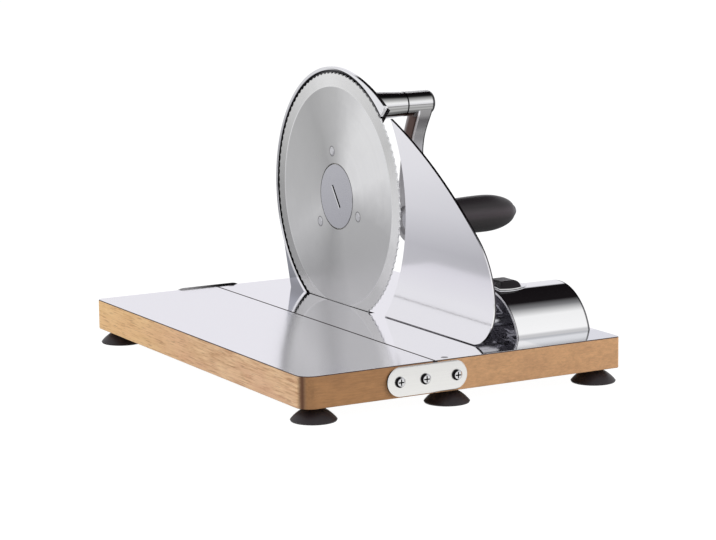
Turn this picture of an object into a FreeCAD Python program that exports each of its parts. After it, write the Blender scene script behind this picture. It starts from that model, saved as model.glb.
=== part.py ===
"""Hand cranked slicer with a folding table, a serrated round blade and a sliding thickness plate.

Frame: +X to the right of the machine, +Y to the back, +Z up, in millimetres.
The origin is the middle of the bounding box, on the surface that the feet stand on.
"""
import FreeCAD
import Part
import math
import os
import Sketcher
from FreeCAD import Placement, Rotation, Vector

DIMENSIONS = [
    # table
    ("seam_x", -53.8, "seam between the two boards"),
    ("table_z", 33.7, "steel top of the boards above the ground"),
    ("left_len", 103.5, "folding board, seam to free end"),
    ("right_len", 155.9, "fixed board, seam to right end"),
    ("depth", 341.4, "both boards, front to back"),
    ("board_t", 22.4, "wood thickness"),
    ("sheet_t", 0.8, "steel cover thickness"),
    ("seam_gap", 1.0, "gap between the steel covers"),
    ("left_corner", 11.0, "front corner radius of the folding board"),
    ("rear_corner", 4.0, "rear corner radius of the folding board"),
    ("right_corner", 2.5, "corner radius of the fixed board"),
    ("side_gap", 0.15, "fixed board set back behind the hinge plates"),
    # hinge
    ("pivot_x", 16.9, "pivot to the right of the seam"),
    ("pivot_z", 11.6, "pivot below the steel top"),
    ("cove_clear", 1.3, "rule joint clearance between the two boards"),
    ("plate_len", 64.2, "hinge plate length"),
    ("plate_wide", 20.9, "hinge plate height"),
    ("plate_t", 2.0, "hinge plate thickness"),
    ("plate_left", 38.4, "hinge plate end to the left of the seam"),
    ("rear_rise", 2.2, "middle of the rear hinge plate above the pivot"),
    ("fix_near", 8.4, "inner plate screw to the left of the seam"),
    ("fix_far", 28.8, "outer plate screw to the left of the seam"),
    ("head_r", 3.9, "screw head radius"),
    ("head_t", 1.9, "screw head height"),
    ("shank_r", 2.0, "wood screw shank radius"),
    ("shoulder_r", 2.6, "pivot screw shoulder radius"),
    ("pivot_play", 0.08, "radial play of the hinge plate on its shoulder"),
    # feet
    ("foot_tall", 10.5, "suction foot height"),
    ("foot_r", 16.3, "suction foot rim radius"),
    ("foot_wall", 1.6, "rubber thickness at the rim"),
    ("foot_front", 13.0, "foot centre to the front or back edge"),
    ("foot_left", 88.5, "left feet to the left of the seam"),
    ("foot_mid", 17.6, "middle feet to the right of the seam"),
    ("foot_right", 141.5, "right feet to the right of the seam"),
    # blade
    ("blade_x", 48.4, "left face of the blade to the right of the seam"),
    ("blade_y", 225.3, "blade axis behind the front edge"),
    ("blade_z", 83.0, "blade axis above the steel top"),
    ("blade_r", 95.5, "blade radius over the tooth tips"),
    ("blade_t", 1.6, "blade thickness"),
    ("bevel_r", 84.5, "radius where the ground edge starts"),
    ("edge_t", 1.25, "thickness left at the edge"),
    ("eye_r", 25.7, "hole for the lock cap"),
    ("teeth", 106, "scallops round the edge"),
    ("scallop_r", 4.2, "radius of one scallop"),
    ("scallop_deep", 1.15, "depth of one scallop"),
    ("rivet_ring", 35.0, "radius of the rivet circle"),
    ("rivet_r", 3.4, "rivet head radius"),
    ("slot_wide", 3.6, "slot in the table for the blade"),
    ("slot_front", 52.5, "slot in front of the blade axis"),
    ("slot_back", 50.0, "slot behind the blade axis"),
    ("slot_deep", 16.0, "depth of the slot below the top"),
    # gear pair
    ("gear_module", 1.5, "gear module"),
    ("blade_teeth", 62, "teeth of the gear on the blade"),
    ("pinion_teeth", 28, "teeth of the crank pinion"),
    ("gear_wide", 6.0, "face width of the gears"),
    ("backlash", 0.22, "tooth thinning at the pitch circle"),
    ("post_r", 9.0, "blade post radius"),
    ("bush_play", 0.08, "radial play of the running bushes"),
    # guard and gear housing
    ("rim_in", 97.2, "inner radius of the guard rim"),
    ("rim_out", 99.8, "outer radius of the guard rim"),
    ("rim_flare_r", 150.0, "outer radius of the flared front end"),
    ("rim_tall", 0.3, "rim in front of the blade face"),
    ("case_r", 52.0, "gear case radius round the blade axis"),
    ("case_back", 13.1, "back of the gear case behind the blade face"),
    ("foot_back", 79.5, "rear end of the housing foot behind the blade axis"),
    # crank
    ("shaft_r", 5.0, "crank shaft radius"),
    ("boss_end", 59.1, "end of the crank boss behind the blade face"),
    ("boss_end_r", 9.5, "crank boss radius at its end"),
    ("boss_root_r", 12.2, "crank boss radius at the case"),
    ("hub_len", 26.0, "crank hub length"),
    ("hub_r", 9.6, "crank hub radius"),
    ("crank_r", 92.0, "crank axis to grip axis"),
    ("arm_in", 2.4, "inner face of the arm to the right of the hub start"),
    ("arm_out", 14.4, "outer face of the arm to the right of the hub start"),
    ("eye_arm_r", 17.3, "round end of the arm"),
    ("axle_r", 4.0, "grip axle radius"),
    ("grip_len", 86.0, "grip length"),
    ("grip_r", 14.7, "largest grip radius"),
    # thickness plate
    ("plate_x", 49.7, "left face of the thickness plate to the right of the seam"),
    ("fence_t", 2.0, "thickness plate thickness"),
    ("fence_lift", 0.4, "thickness plate above the steel top"),
    ("travel", 18.0, "travel of the thickness plate"),
    ("rod_r", 3.5, "guide rod radius"),
    ("rod_play", 0.05, "radial play of the guide rods"),
    ("rod_half", 19.3, "half distance between the guide rods"),
    ("rod_z", 9.6, "guide rods above the steel top"),
    # thickness housing
    ("shell_x", 89.1, "open end of the shell to the right of the seam"),
    ("shell_len", 62.9, "shell length"),
    ("shell_y", 71.8, "shell axis behind the front edge"),
    ("shell_drop", 10.6, "shell axis below the steel top"),
    ("shell_r", 41.2, "shell outer radius"),
    ("shell_t", 1.6, "shell wall"),
    ("neck_wide", 5.0, "neck of the slide block"),
]

# fixed details, in millimetres and degrees
EDGE_ROUND = 0.8            # lower edges of the boards
SHEET_INSET = 0.2           # steel covers inside the edge of the wood
SLOT_CLEAR = 0.8            # table slot to the left of the blade
STUD_R = 2.5                # foot studs
STUD_DEEP = 8.6
STUD_COLLAR_R = 4.6
COLLAR_R = 7.0              # rubber collar of a foot
FOOT_GAP = 1.6              # bare metal between a foot and its board
SCREW_DEEP = 15.0           # hinge screws in the wood
SCREW_HOLE_R = 2.0
HEAD_HOLE_R = 4.4
HEAD_HOLE_DEEP = 4.0
SHEET_SCREW_R = 1.3
SHEET_HEAD_R = 2.6
SHEET_SCREW_LEN = 9.0
BASE_HEAD_R = 3.8
BASE_HEAD_T = 2.4
BASE_SHANK_R = 2.0
BASE_SCREW_REACH = 4.0      # base screws above the steel top
PIVOT_FACE_GAP = 0.1        # play between the hinge plate and the pivot screw's head
RIVET_SHANK_R = 2.0
RIVET_HEAD_T = 0.6
RIVET_ANGLE = 79.6          # first rivet, from +Y towards +Z
RIM_OFFSET = 0.8            # toothed rim behind the blade
WEB_T = 3.0
GEAR_RIM_R = 40.0
GEAR_HUB_R = 15.0
HUB_LEN = 7.6
BUSH_R = 11.0
POST_FLANGE_R = 19.0
POST_FLANGE_T = 3.0
FLANGE_SCREW_R = 1.5
LOCK_R = 4.0
LOCK_CHAMBER_X = 11.5
LOCK_LUG_R = 6.5
LOCK_LUG_WIDE = 3.6
LOCK_LUG_T = 2.4
LOCK_PROUD = 0.3            # cap in front of the blade face
LOCK_CAP_R = 24.9
LOCK_CAP_T = 1.8
COIN_LONG = 20.0
COIN_WIDE = 2.0
COIN_DEEP = 1.2
COIN_ANGLE = 54.6
FLARE_START = 98.0          # guard rim: where the flare leaves the round, from +Y
TIP_ANGLE = 135.4           # front tip of the guard
TIP_ROUND = 3.0
REAR_TANGENT = -16.5        # where the straight rear edge of the foot leaves the round
CASE_END = -78.0            # where the gear case meets the front of the foot
FOOT_FRONT = 8.0            # front of the housing foot behind the blade axis
FOOT_REACH = 36.0
FOOT_T = 7.0
GUSSET_T = 5.0
HOUSING_FOOT_MID = 20.0
WALL_FRONT = 1.0            # wall faces behind the blade's left face
WALL_BACK = 5.6
WALL_CHAMFER = 3.0
RECESS_FLOOR = 2.6
CASE_START = 4.6
CASE_DRAFT = 2.5
CASE_WALL = 2.4
PINION_CASE_R = 26.3
RIB_ANGLES = (-8, 22, 52, 118)
RIB_T = 3.0
RIB_TALL = 4.0
CRANK_BUSH_R = 7.5
HUB_GAP = 0.3
SHAFT_IN_HUB = 17.0
PINION_HUB_R = 9.0
DISH_R = 12.0               # dish in the inner face of the crank's eye
DISH_DEEP = 1.6
ARM_ROUND = 2.0
ARM_LEVELS = (4.0, -6.0, -12.5, -19.0, -26.0, -33.0)    # arm profile, below the crank axis
ARM_LEFT = (9.6, 9.3, 7.6, 5.6, 3.8, 2.8)
ARM_RIGHT = (23.3, 22.8, 20.5, 18.1, 16.2, 15.0)
ARM_STRAIGHT = -46.0
ARM_HALF_LEVELS = (4.0, -8.0, -15.0, -25.0, -36.0, -48.0, -64.0)
ARM_HALF = (8.3, 8.3, 8.1, 7.7, 8.1, 9.7, 12.4)
EYE_TANGENT = 10.0
HUB_ROUND = 4.5
SETSCREW_X = 9.0            # set screw from the hub's left end
SETSCREW_R = 2.0
GRIP_GAP = 0.4
AXLE_TIP_T = 1.7
FENCE_NOSE_Y = 33.1         # where the plate's straight foot starts to turn up
FENCE_TURNS = ((31.2, 1.647), (62.6, 0.778), (430.0, 0.331))
FENCE_BACK_SHIFT = 17.0     # centre of the plate's back edge behind the blade axis
BRACKET_T = 3.5
ROD_END = 130.0
BLOCK_X = 94.2
BLOCK_LONG = 8.0
BULKHEAD_X = 123.0
NECK_TOP = 34.0
KNOB_X = 95.5
KNOB_WIDE = 16.0
SADDLE_GAP = 0.3
SADDLE_T = 0.8
SADDLE_LONG = 25.0
SADDLE_LEFT = 8.0           # half widths of the saddle at its two ends and its middle
SADDLE_MIDDLE = 9.6
SADDLE_RIGHT = 5.5
KNOB_LOW = 24.0             # knob profile above the steel top
KNOB_HIGH = 36.3
KNOB_LONG = 20.8
KNOB_ROUND = 1.3
END_RECESS = 1.0
END_PLATE_T = 3.0


class Size:
    """A number together with the spreadsheet expression that gives it."""

    def __init__(self, text, value):
        self.text = text
        self.value = float(value)

    def _join(self, sign, other, value):
        text = other.text if isinstance(other, Size) else repr(float(other))
        return Size(f"({self.text} {sign} {text})", value)

    def __add__(self, other):
        return self._join("+", other, self.value + float(other))

    def __sub__(self, other):
        return self._join("-", other, self.value - float(other))

    def __mul__(self, other):
        return self._join("*", other, self.value * float(other))

    def __truediv__(self, other):
        return self._join("/", other, self.value / float(other))

    def __rsub__(self, other):
        return Size(repr(float(other)), other) - self

    def __radd__(self, other):
        return self + other

    def __rmul__(self, other):
        return self * other

    def __neg__(self):
        return self * -1.0

    def __float__(self):
        return self.value


doc = FreeCAD.newDocument("slicer")
sheet = doc.addObject("Spreadsheet::Sheet", "Dims")
sizes = {}
nodes = []


def fill_sheet():
    """Write the driving dimensions, one row each."""
    for row, (alias, value, note) in enumerate(DIMENSIONS, start=1):
        sheet.set(f"A{row}", alias)
        sheet.set(f"B{row}", str(value))
        sheet.set(f"C{row}", note)
        sheet.setAlias(f"B{row}", alias)
        sizes[alias] = Size(f"Dims.{alias}", value)
    doc.recompute()


def dim(alias):
    """The driving dimension of that name."""
    return sizes[alias]


def bind(thing, **properties):
    """Bind properties to sizes; a double underscore stands for a dot in the property's path."""
    for path, size in properties.items():
        path = path.replace("__", ".")
        if isinstance(size, Size):
            thing.setExpression(path, size.text)
        else:
            thing.setExpression(path, repr(float(size)))


def place(thing, spot, rotation=None):
    """Bind the place of an object to three sizes."""
    if rotation is not None:
        thing.Placement = Placement(Vector(0, 0, 0), rotation)
    bind(thing, Placement__Base__x=spot[0], Placement__Base__y=spot[1], Placement__Base__z=spot[2])


def node(thing, label):
    """Name an object as one finished piece."""
    thing.Label = label
    nodes.append(thing)
    return thing


ALONG_X = Rotation(Vector(0, 0, 1), Vector(1, 0, 0))
ALONG_Y = Rotation(Vector(0, 0, 1), Vector(0, 1, 0))
ALONG_Z = Rotation()


def cylinder(name, spot, radius, length, rotation=ALONG_X):
    thing = doc.addObject("Part::Cylinder", name)
    place(thing, spot, rotation)
    bind(thing, Radius=radius, Height=length)
    return thing


def cone(name, spot, start_r, end_r, length, rotation=ALONG_X):
    thing = doc.addObject("Part::Cone", name)
    place(thing, spot, rotation)
    bind(thing, Radius1=start_r, Radius2=end_r, Height=length)
    return thing


def box(name, corner, lengths):
    thing = doc.addObject("Part::Box", name)
    place(thing, corner)
    bind(thing, Length=lengths[0], Width=lengths[1], Height=lengths[2])
    return thing


def fuse(name, things):
    thing = doc.addObject("Part::MultiFuse", name)
    thing.Shapes = things
    thing.Refine = True
    return thing


def cut(name, base, tool):
    thing = doc.addObject("Part::Cut", name)
    thing.Base = base
    thing.Tool = tool
    thing.Refine = True
    return thing


def common(name, one, two):
    thing = doc.addObject("Part::Common", name)
    thing.Base = one
    thing.Tool = two
    thing.Refine = True
    return thing


def group(name, things):
    """Separate solids that share one node."""
    thing = doc.addObject("Part::Compound", name)
    thing.Links = things
    return thing


class Piece:
    """A PartDesign body with short calls for its sketches and features."""

    def __init__(self, label, spot):
        self.body = doc.addObject("PartDesign::Body", label)
        self.body.Label = label
        place(self.body, spot)
        self.count = 0

    def sketch(self, plane, shift=0.0):
        """A sketch on an origin plane of the body, moved along the plane's normal."""
        self.count += 1
        sketch = self.body.newObject("Sketcher::SketchObject", f"{self.body.Name}_sketch{self.count}")
        support = next(item for item in self.body.Origin.OriginFeatures if item.Role == plane)
        sketch.AttachmentSupport = (support, [""])
        sketch.MapMode = "FlatFace"
        bind(sketch, AttachmentOffset__Base__z=shift)
        return sketch

    def feature(self, kind, sketch, **properties):
        self.count += 1
        thing = self.body.newObject(f"PartDesign::{kind}", f"{self.body.Name}_{kind.lower()}{self.count}")
        thing.Profile = sketch
        bind(thing, **properties)
        return thing

    def pad(self, sketch, length, reverse=False):
        thing = self.feature("Pad", sketch, Length=length)
        thing.Reversed = reverse
        return thing

    def pocket(self, sketch, length, reverse=False):
        """A pocket that must remove material."""
        doc.recompute()
        before = self.body.Shape.Volume
        thing = self.feature("Pocket", sketch, Length=length)
        thing.Reversed = reverse
        doc.recompute()
        if self.body.Shape.Volume > before - 1e-3:
            raise RuntimeError(f"{thing.Name} cuts nothing")
        return thing

    def revolve(self, sketch, axis="V_Axis"):
        thing = self.feature("Revolution", sketch)
        thing.ReferenceAxis = (sketch, [axis])
        thing.Angle = 360
        return thing

    def repeat(self, feature, plane_axis, count):
        """A full circle of one feature about an origin axis of the body."""
        axis = next(item for item in self.body.Origin.OriginFeatures if item.Role == plane_axis)
        thing = self.body.newObject("PartDesign::PolarPattern", f"{self.body.Name}_pattern")
        thing.Originals = [feature]
        thing.Axis = (axis, [""])
        thing.Angle = 360
        bind(thing, Occurrences=count)
        self.body.Tip = thing
        return thing

    def fillet(self, radius, choose, kind="Fillet"):
        """Round (or chamfer) the edges that the test picks on the body so far."""
        doc.recompute()
        base = self.body.Tip
        edges = [f"Edge{i}" for i, edge in enumerate(base.Shape.Edges, start=1) if choose(edge)]
        if not edges:
            raise RuntimeError(f"no edge to round on {self.body.Name}")
        self.count += 1
        thing = self.body.newObject(f"PartDesign::{kind}", f"{self.body.Name}_{kind.lower()}{self.count}")
        thing.Base = (base, edges)
        bind(thing, **{"Radius" if kind == "Fillet" else "Size": radius})
        return thing


def corner(sketch, spot, axis, value):
    """Hold one coordinate of a sketch point at a size."""
    geometry, point = spot
    number = sketch.addConstraint(Sketcher.Constraint(axis, geometry, point, float(value)))
    if isinstance(value, Size):
        sketch.setExpression(f"Constraints[{number}]", value.text)


def polygon(sketch, points):
    """A closed outline of straight lines, every corner held at its two sizes."""
    vectors = [Vector(float(x), float(y), 0) for x, y in points]
    first = sketch.GeometryCount
    for start, end in zip(vectors, vectors[1:] + vectors[:1]):
        sketch.addGeometry(Part.LineSegment(start, end), False)
    total = len(points)
    for i in range(total):
        ends = (first + i, 2, first + (i + 1) % total, 1)
        sketch.addConstraint(Sketcher.Constraint("Coincident", *ends))
    for i, (x, y) in enumerate(points):
        corner(sketch, (first + i, 1), "DistanceX", x)
        corner(sketch, (first + i, 1), "DistanceY", y)


def circle(sketch, centre, radius):
    """A circle held by its centre and radius."""
    shape = Part.Circle(Vector(float(centre[0]), float(centre[1]), 0), Vector(0, 0, 1), float(radius))
    number = sketch.addGeometry(shape, False)
    corner(sketch, (number, 3), "DistanceX", centre[0])
    corner(sketch, (number, 3), "DistanceY", centre[1])
    held = sketch.addConstraint(Sketcher.Constraint("Radius", number, float(radius)))
    if isinstance(radius, Size):
        sketch.setExpression(f"Constraints[{held}]", radius.text)


def point(x, y):
    return Vector(float(x), float(y), 0)


def polar(radius, degrees, centre=(0.0, 0.0)):
    """A sketch point by radius and angle."""
    angle = math.radians(degrees)
    return point(float(centre[0]) + float(radius) * math.cos(angle),
                 float(centre[1]) + float(radius) * math.sin(angle))


def outline(sketch, parts):
    """A closed outline of lines (two points), arcs (three points) and smooth curves (more points)."""
    for part in parts:
        if isinstance(part, Part.BSplineCurve):
            sketch.addGeometry(part, False)
        elif len(part) == 2:
            sketch.addGeometry(Part.LineSegment(*part), False)
        elif len(part) == 3:
            sketch.addGeometry(Part.Arc(*part), False)
        else:
            curve = Part.BSplineCurve()
            curve.interpolate(list(part))
            sketch.addGeometry(curve, False)


def smooth(points, start, end):
    """A smooth curve through sketch points with its direction given at both ends."""
    curve = Part.BSplineCurve()
    curve.interpolate(Points=[point(*spot) for spot in points], InitialTangent=point(*start),
                      FinalTangent=point(*end))
    return curve


def is_upright(edge):
    """A straight vertical edge."""
    box_ = edge.BoundBox
    return box_.XLength < 1e-4 and box_.YLength < 1e-4


def table_spot(x=0.0, y=0.0, z=0.0):
    """A place given from the seam, the front edge and the steel top."""
    return (dim("seam_x") + x, dim("depth") * -0.5 + y, dim("table_z") + z)


def blade_spot(x=0.0, y=0.0, z=0.0):
    """A place given from the blade axis, on the blade's left face."""
    return table_spot(dim("blade_x") + x, dim("blade_y") + y, dim("blade_z") + z)


def gear_distance():
    return (dim("blade_teeth") + dim("pinion_teeth")) * dim("gear_module") / 2.0


def crank_spot(x=0.0, y=0.0, z=0.0):
    """A place given from the crank axis, in the plane of the blade's left face."""
    return blade_spot(x, y, gear_distance() + z)


def both_ends():
    """Front and back of the table: label, Y of the face and the outward sign."""
    return (("front", 0.0, -1.0), ("rear", dim("depth"), 1.0))


def foot_rows():
    """Y of the front and of the rear feet."""
    return (("front", dim("foot_front") + 0.0), ("rear", dim("depth") - dim("foot_front")))


def foot_columns():
    """X of the three columns of feet; the left one folds with its board."""
    return (
        ("left", -dim("foot_left")),
        ("middle", dim("foot_mid") + 0.0),
        ("right", dim("foot_right") + 0.0),
    )


def board_holes(label, board, columns):
    """Stud holes from below and hinge screw holes in both end faces."""
    stud_holes = [
        cylinder(f"{label}_stud_hole_{side}_{row}", table_spot(x, y, -dim("sheet_t") - dim("board_t")),
                 STUD_R, STUD_DEEP, ALONG_Z)
        for side, x in columns for row, y in foot_rows()
    ]
    if label == "left_board":
        screw_x = (-dim("fix_near"), -dim("fix_far"))
    else:
        screw_x = (dim("pivot_x") + 0.0,)
    screw_holes = [
        cylinder(f"{label}_screw_hole_{row}_{i}",
                 table_spot(x, y if sign < 0 else y - SCREW_DEEP, -dim("pivot_z")),
                 dim("shank_r"), SCREW_DEEP, ALONG_Y)
        for i, x in enumerate(screw_x) for row, y, sign in both_ends()
    ]
    return cut(label, board, fuse(f"{label}_holes", stud_holes + screw_holes))


def make_left_board():
    """The folding board: a coved end that clears the fixed board's round end as it folds up."""
    piece = Piece("left_board_body", table_spot())
    top = -float(dim("sheet_t"))
    bottom = top - float(dim("board_t"))
    pivot = (float(dim("pivot_x")), -float(dim("pivot_z")))
    radius = cove_radius()
    left = -float(dim("left_len"))
    upper, lower = cove_end(radius, top), cove_end(radius, bottom)
    profile = piece.sketch("XZ_Plane")
    outline(profile, [
        (point(left, top), point(upper, top)),
        (point(upper, top), polar(radius, 180, pivot), point(lower, bottom)),
        (point(lower, bottom), point(left, bottom)),
        (point(left, bottom), point(left, top)),
    ])
    piece.pad(profile, dim("depth"), reverse=True)
    piece.fillet(dim("left_corner"), lambda edge: is_upright(edge) and edge.BoundBox.XMin < left + 1
                 and edge.BoundBox.YMin < 1)
    piece.fillet(dim("rear_corner"), lambda edge: is_upright(edge) and edge.BoundBox.XMin < left + 1
                 and edge.BoundBox.YMin > 1 and abs(edge.BoundBox.YMin - float(dim("depth"))) < 1)
    piece.fillet(EDGE_ROUND, lambda edge: edge.BoundBox.ZMin < bottom + 0.01 and edge.BoundBox.ZLength < 0.01
                 and edge.BoundBox.XMin < lower - 1)
    board = board_holes("left_board", piece.body, foot_columns()[:1])
    return node(board, "left_board")


def cove_radius():
    """Radius of the folding board's cove: it passes through the steel's edge at the seam."""
    return math.hypot(float(dim("pivot_x")) + float(dim("seam_gap")) / 2.0, float(dim("pivot_z")))


def cove_end(radius, level):
    """X where a circle round the hinge pivot reaches a level, on its left side."""
    rise = level + float(dim("pivot_z"))
    return float(dim("pivot_x")) - math.sqrt(radius * radius - rise * rise)


def make_right_board():
    """The fixed board: a round end at the seam and a blind slot that the blade runs in."""
    piece = Piece("right_board_body", table_spot(y=dim("side_gap")))
    top = -float(dim("sheet_t"))
    bottom = top - float(dim("board_t"))
    pivot = (float(dim("pivot_x")), -float(dim("pivot_z")))
    radius = cove_radius() - float(dim("cove_clear"))
    right = float(dim("right_len"))
    upper, lower = cove_end(radius, top), cove_end(radius, bottom)
    profile = piece.sketch("XZ_Plane")
    outline(profile, [
        (point(right, top), point(upper, top)),
        (point(upper, top), polar(radius, 180, pivot), point(lower, bottom)),
        (point(lower, bottom), point(right, bottom)),
        (point(right, bottom), point(right, top)),
    ])
    piece.pad(profile, dim("depth") - dim("side_gap") * 2.0, reverse=True)
    piece.fillet(dim("right_corner"), lambda edge: is_upright(edge) and edge.BoundBox.XMax > right - 1)
    piece.fillet(EDGE_ROUND, lambda edge: edge.BoundBox.ZMin < bottom + 0.01 and edge.BoundBox.ZLength < 0.01
                 and edge.BoundBox.XMax > lower + 1)
    board = board_holes("right_board_drilled", piece.body, foot_columns()[1:])
    tools = [blade_slot("right_board_slot", -dim("slot_deep"), dim("slot_deep"))]
    for name, x, y in base_screw_spots():
        bottom_z = -dim("sheet_t") - dim("board_t")
        tools.append(cylinder(f"{name}_shank_hole", table_spot(x, y, bottom_z), SCREW_HOLE_R,
                              dim("board_t"), ALONG_Z))
        tools.append(cylinder(f"{name}_head_hole", table_spot(x, y, bottom_z), HEAD_HOLE_R,
                              HEAD_HOLE_DEEP, ALONG_Z))
    for i, (x, y) in enumerate(sheet_screw_spots()):
        tools.append(cylinder(f"sheet_screw_hole_{i}", table_spot(x, y, -dim("sheet_t") - SHEET_SCREW_LEN),
                              SHEET_SCREW_R, SHEET_SCREW_LEN, ALONG_Z))
    return node(cut("right_board", board, fuse("right_board_tools", tools)), "right_board")


def blade_slot(name, z, tall):
    """The slot under the blade, as a box from one level upwards."""
    x = dim("blade_x") - SLOT_CLEAR
    y = dim("blade_y") - dim("slot_front")
    return box(name, table_spot(x, y, z), (dim("slot_wide"), dim("slot_front") + dim("slot_back"), tall))


def make_sheet(label, left, right, front, back, rounds):
    """A steel cover, flush with its board but for a hair all round; each round is a radius and a corner."""
    piece = Piece(f"{label}_body", table_spot(z=-dim("sheet_t")))
    flat = piece.sketch("XY_Plane")
    polygon(flat, [(left, front), (right, front), (right, back), (left, back)])
    piece.pad(flat, dim("sheet_t"))
    for radius, x, y in rounds:
        piece.fillet(radius, lambda edge: is_upright(edge) and abs(edge.BoundBox.XMin - float(x)) < 0.1
                     and abs(edge.BoundBox.YMin - float(y)) < 0.1)
    return piece.body


def make_sheets():
    hair = SHEET_INSET
    back, end = dim("depth") - hair, -dim("left_len") + hair
    left = make_sheet("left_sheet", end, dim("seam_gap") * -0.5, hair, back,
                      [(dim("left_corner") - hair, end, hair), (dim("rear_corner") - hair, end, back)])
    node(left, "left_sheet")
    front = dim("side_gap") + hair
    back, end = dim("depth") - front, dim("right_len") - hair
    right = make_sheet("right_sheet_blank", dim("seam_gap") * 0.5, end, front, back,
                       [(dim("right_corner") - hair, end, y) for y in (front, back)])
    tools = [blade_slot("right_sheet_slot", -dim("sheet_t") * 2.0, dim("sheet_t") * 4.0)]
    for name, x, y in base_screw_spots():
        tools.append(cylinder(f"{name}_sheet_hole", table_spot(x, y, -dim("sheet_t")), SCREW_HOLE_R,
                              dim("sheet_t"), ALONG_Z))
    for i, (x, y) in enumerate(sheet_screw_spots()):
        tools.append(cone(f"sheet_countersink_{i}", table_spot(x, y, -dim("sheet_t")), SHEET_SCREW_R,
                          SHEET_HEAD_R, dim("sheet_t"), ALONG_Z))
    node(cut("right_sheet", right, fuse("right_sheet_tools", tools)), "right_sheet")
    screws = []
    for i, (x, y) in enumerate(sheet_screw_spots()):
        head = cone(f"sheet_screw_head_{i}", table_spot(x, y, -dim("sheet_t")), SHEET_SCREW_R,
                    SHEET_HEAD_R, dim("sheet_t"), ALONG_Z)
        shank = cylinder(f"sheet_screw_shank_{i}", table_spot(x, y, -dim("sheet_t") - SHEET_SCREW_LEN),
                         SHEET_SCREW_R, SHEET_SCREW_LEN, ALONG_Z)
        screws.append(fuse(f"sheet_screw_{i}", [head, shank]))
    node(group("sheet_screws", screws), "sheet_screws")


def sheet_screw_spots():
    """Small screws that hold the fixed cover beside the seam."""
    return ((11.4, 5.6), (11.4, dim("depth") - 5.6))


def base_screw_spots():
    """Screws up through the fixed board: into the housing foot and the thickness shell."""
    foot_x = dim("blade_x") + HOUSING_FOOT_MID
    return (
        ("housing_screw_a", foot_x - 11.0, dim("blade_y") + 18.0),
        ("housing_screw_b", foot_x + 9.0, dim("blade_y") + 18.0),
        ("housing_screw_c", foot_x - 11.0, dim("blade_y") + 66.0),
        ("housing_screw_d", foot_x + 9.0, dim("blade_y") + 66.0),
        ("shell_screw_a", dim("shell_x") + 52.0, dim("shell_y") - 31.0),
        ("shell_screw_b", dim("shell_x") + 52.0, dim("shell_y") + 31.0),
        ("shell_screw_c", dim("shell_x") + 7.5, dim("shell_y") + 0.0),
    )


def make_base_screws():
    """Screws with heads sunk in the underside of the fixed board."""
    screws = []
    bottom = -dim("sheet_t") - dim("board_t")
    for name, x, y in base_screw_spots():
        head = cylinder(f"{name}_head", table_spot(x, y, bottom + HEAD_HOLE_DEEP - BASE_HEAD_T),
                        BASE_HEAD_R, BASE_HEAD_T, ALONG_Z)
        shank = cylinder(f"{name}_shank", table_spot(x, y, bottom + HEAD_HOLE_DEEP), BASE_SHANK_R,
                         dim("board_t") + dim("sheet_t") - HEAD_HOLE_DEEP + BASE_SCREW_REACH, ALONG_Z)
        screws.append(fuse(name, [head, shank]))
    node(group("base_screws", screws), "base_screws")


def make_foot(side, row, x, y):
    """A rubber suction foot: dished collar round the stud, flared skirt, hollow underneath."""
    ground = -dim("sheet_t") - dim("board_t") - dim("foot_tall")
    piece = Piece(f"foot_{side}_{row}", table_spot(x, y, ground))
    tall = float(dim("foot_tall"))
    rim, wall = float(dim("foot_r")), float(dim("foot_wall"))
    profile = piece.sketch("XZ_Plane")
    collar_top = tall - FOOT_GAP
    outline(profile, [
        (point(STUD_R, tall - 4.6), point(COLLAR_R - 1.4, collar_top)),
        (point(COLLAR_R - 1.4, collar_top), point(COLLAR_R, collar_top - 0.4)),
        (point(COLLAR_R, collar_top - 0.4), point(rim * 0.71, tall * 0.53), point(rim, wall * 0.55)),
        (point(rim, wall * 0.55), point(rim - 0.4, 0)),
        (point(rim - 0.4, 0), point(rim - wall, 0)),
        (point(rim - wall, 0), point(rim * 0.55, tall * 0.29), point(STUD_R, tall * 0.36)),
        (point(STUD_R, tall * 0.36), point(STUD_R, tall - 4.6)),
    ])
    piece.revolve(profile)
    return node(piece.body, f"foot_{side}_{row}")


def make_feet():
    """Six suction feet, each on a metal stud with a round collar above the rubber."""
    studs = {"left": [], "middle": [], "right": []}
    bottom = -dim("sheet_t") - dim("board_t")
    for side, x in foot_columns():
        for row, y in foot_rows():
            make_foot(side, row, x, y)
            name = f"stud_{side}_{row}"
            stem = cylinder(f"{name}_stem", table_spot(x, y, bottom - dim("foot_tall") * 0.64), STUD_R,
                            dim("foot_tall") * 0.64 + STUD_DEEP, ALONG_Z)
            collar = cone(f"{name}_collar", table_spot(x, y, bottom - FOOT_GAP - 1.0), STUD_R, STUD_COLLAR_R,
                          FOOT_GAP + 1.0, ALONG_Z)
            studs[side].append(fuse(name, [stem, collar]))
    node(group("left_studs", studs["left"]), "left_foot_studs")
    node(group("right_studs", studs["middle"] + studs["right"]), "right_foot_studs")


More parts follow.
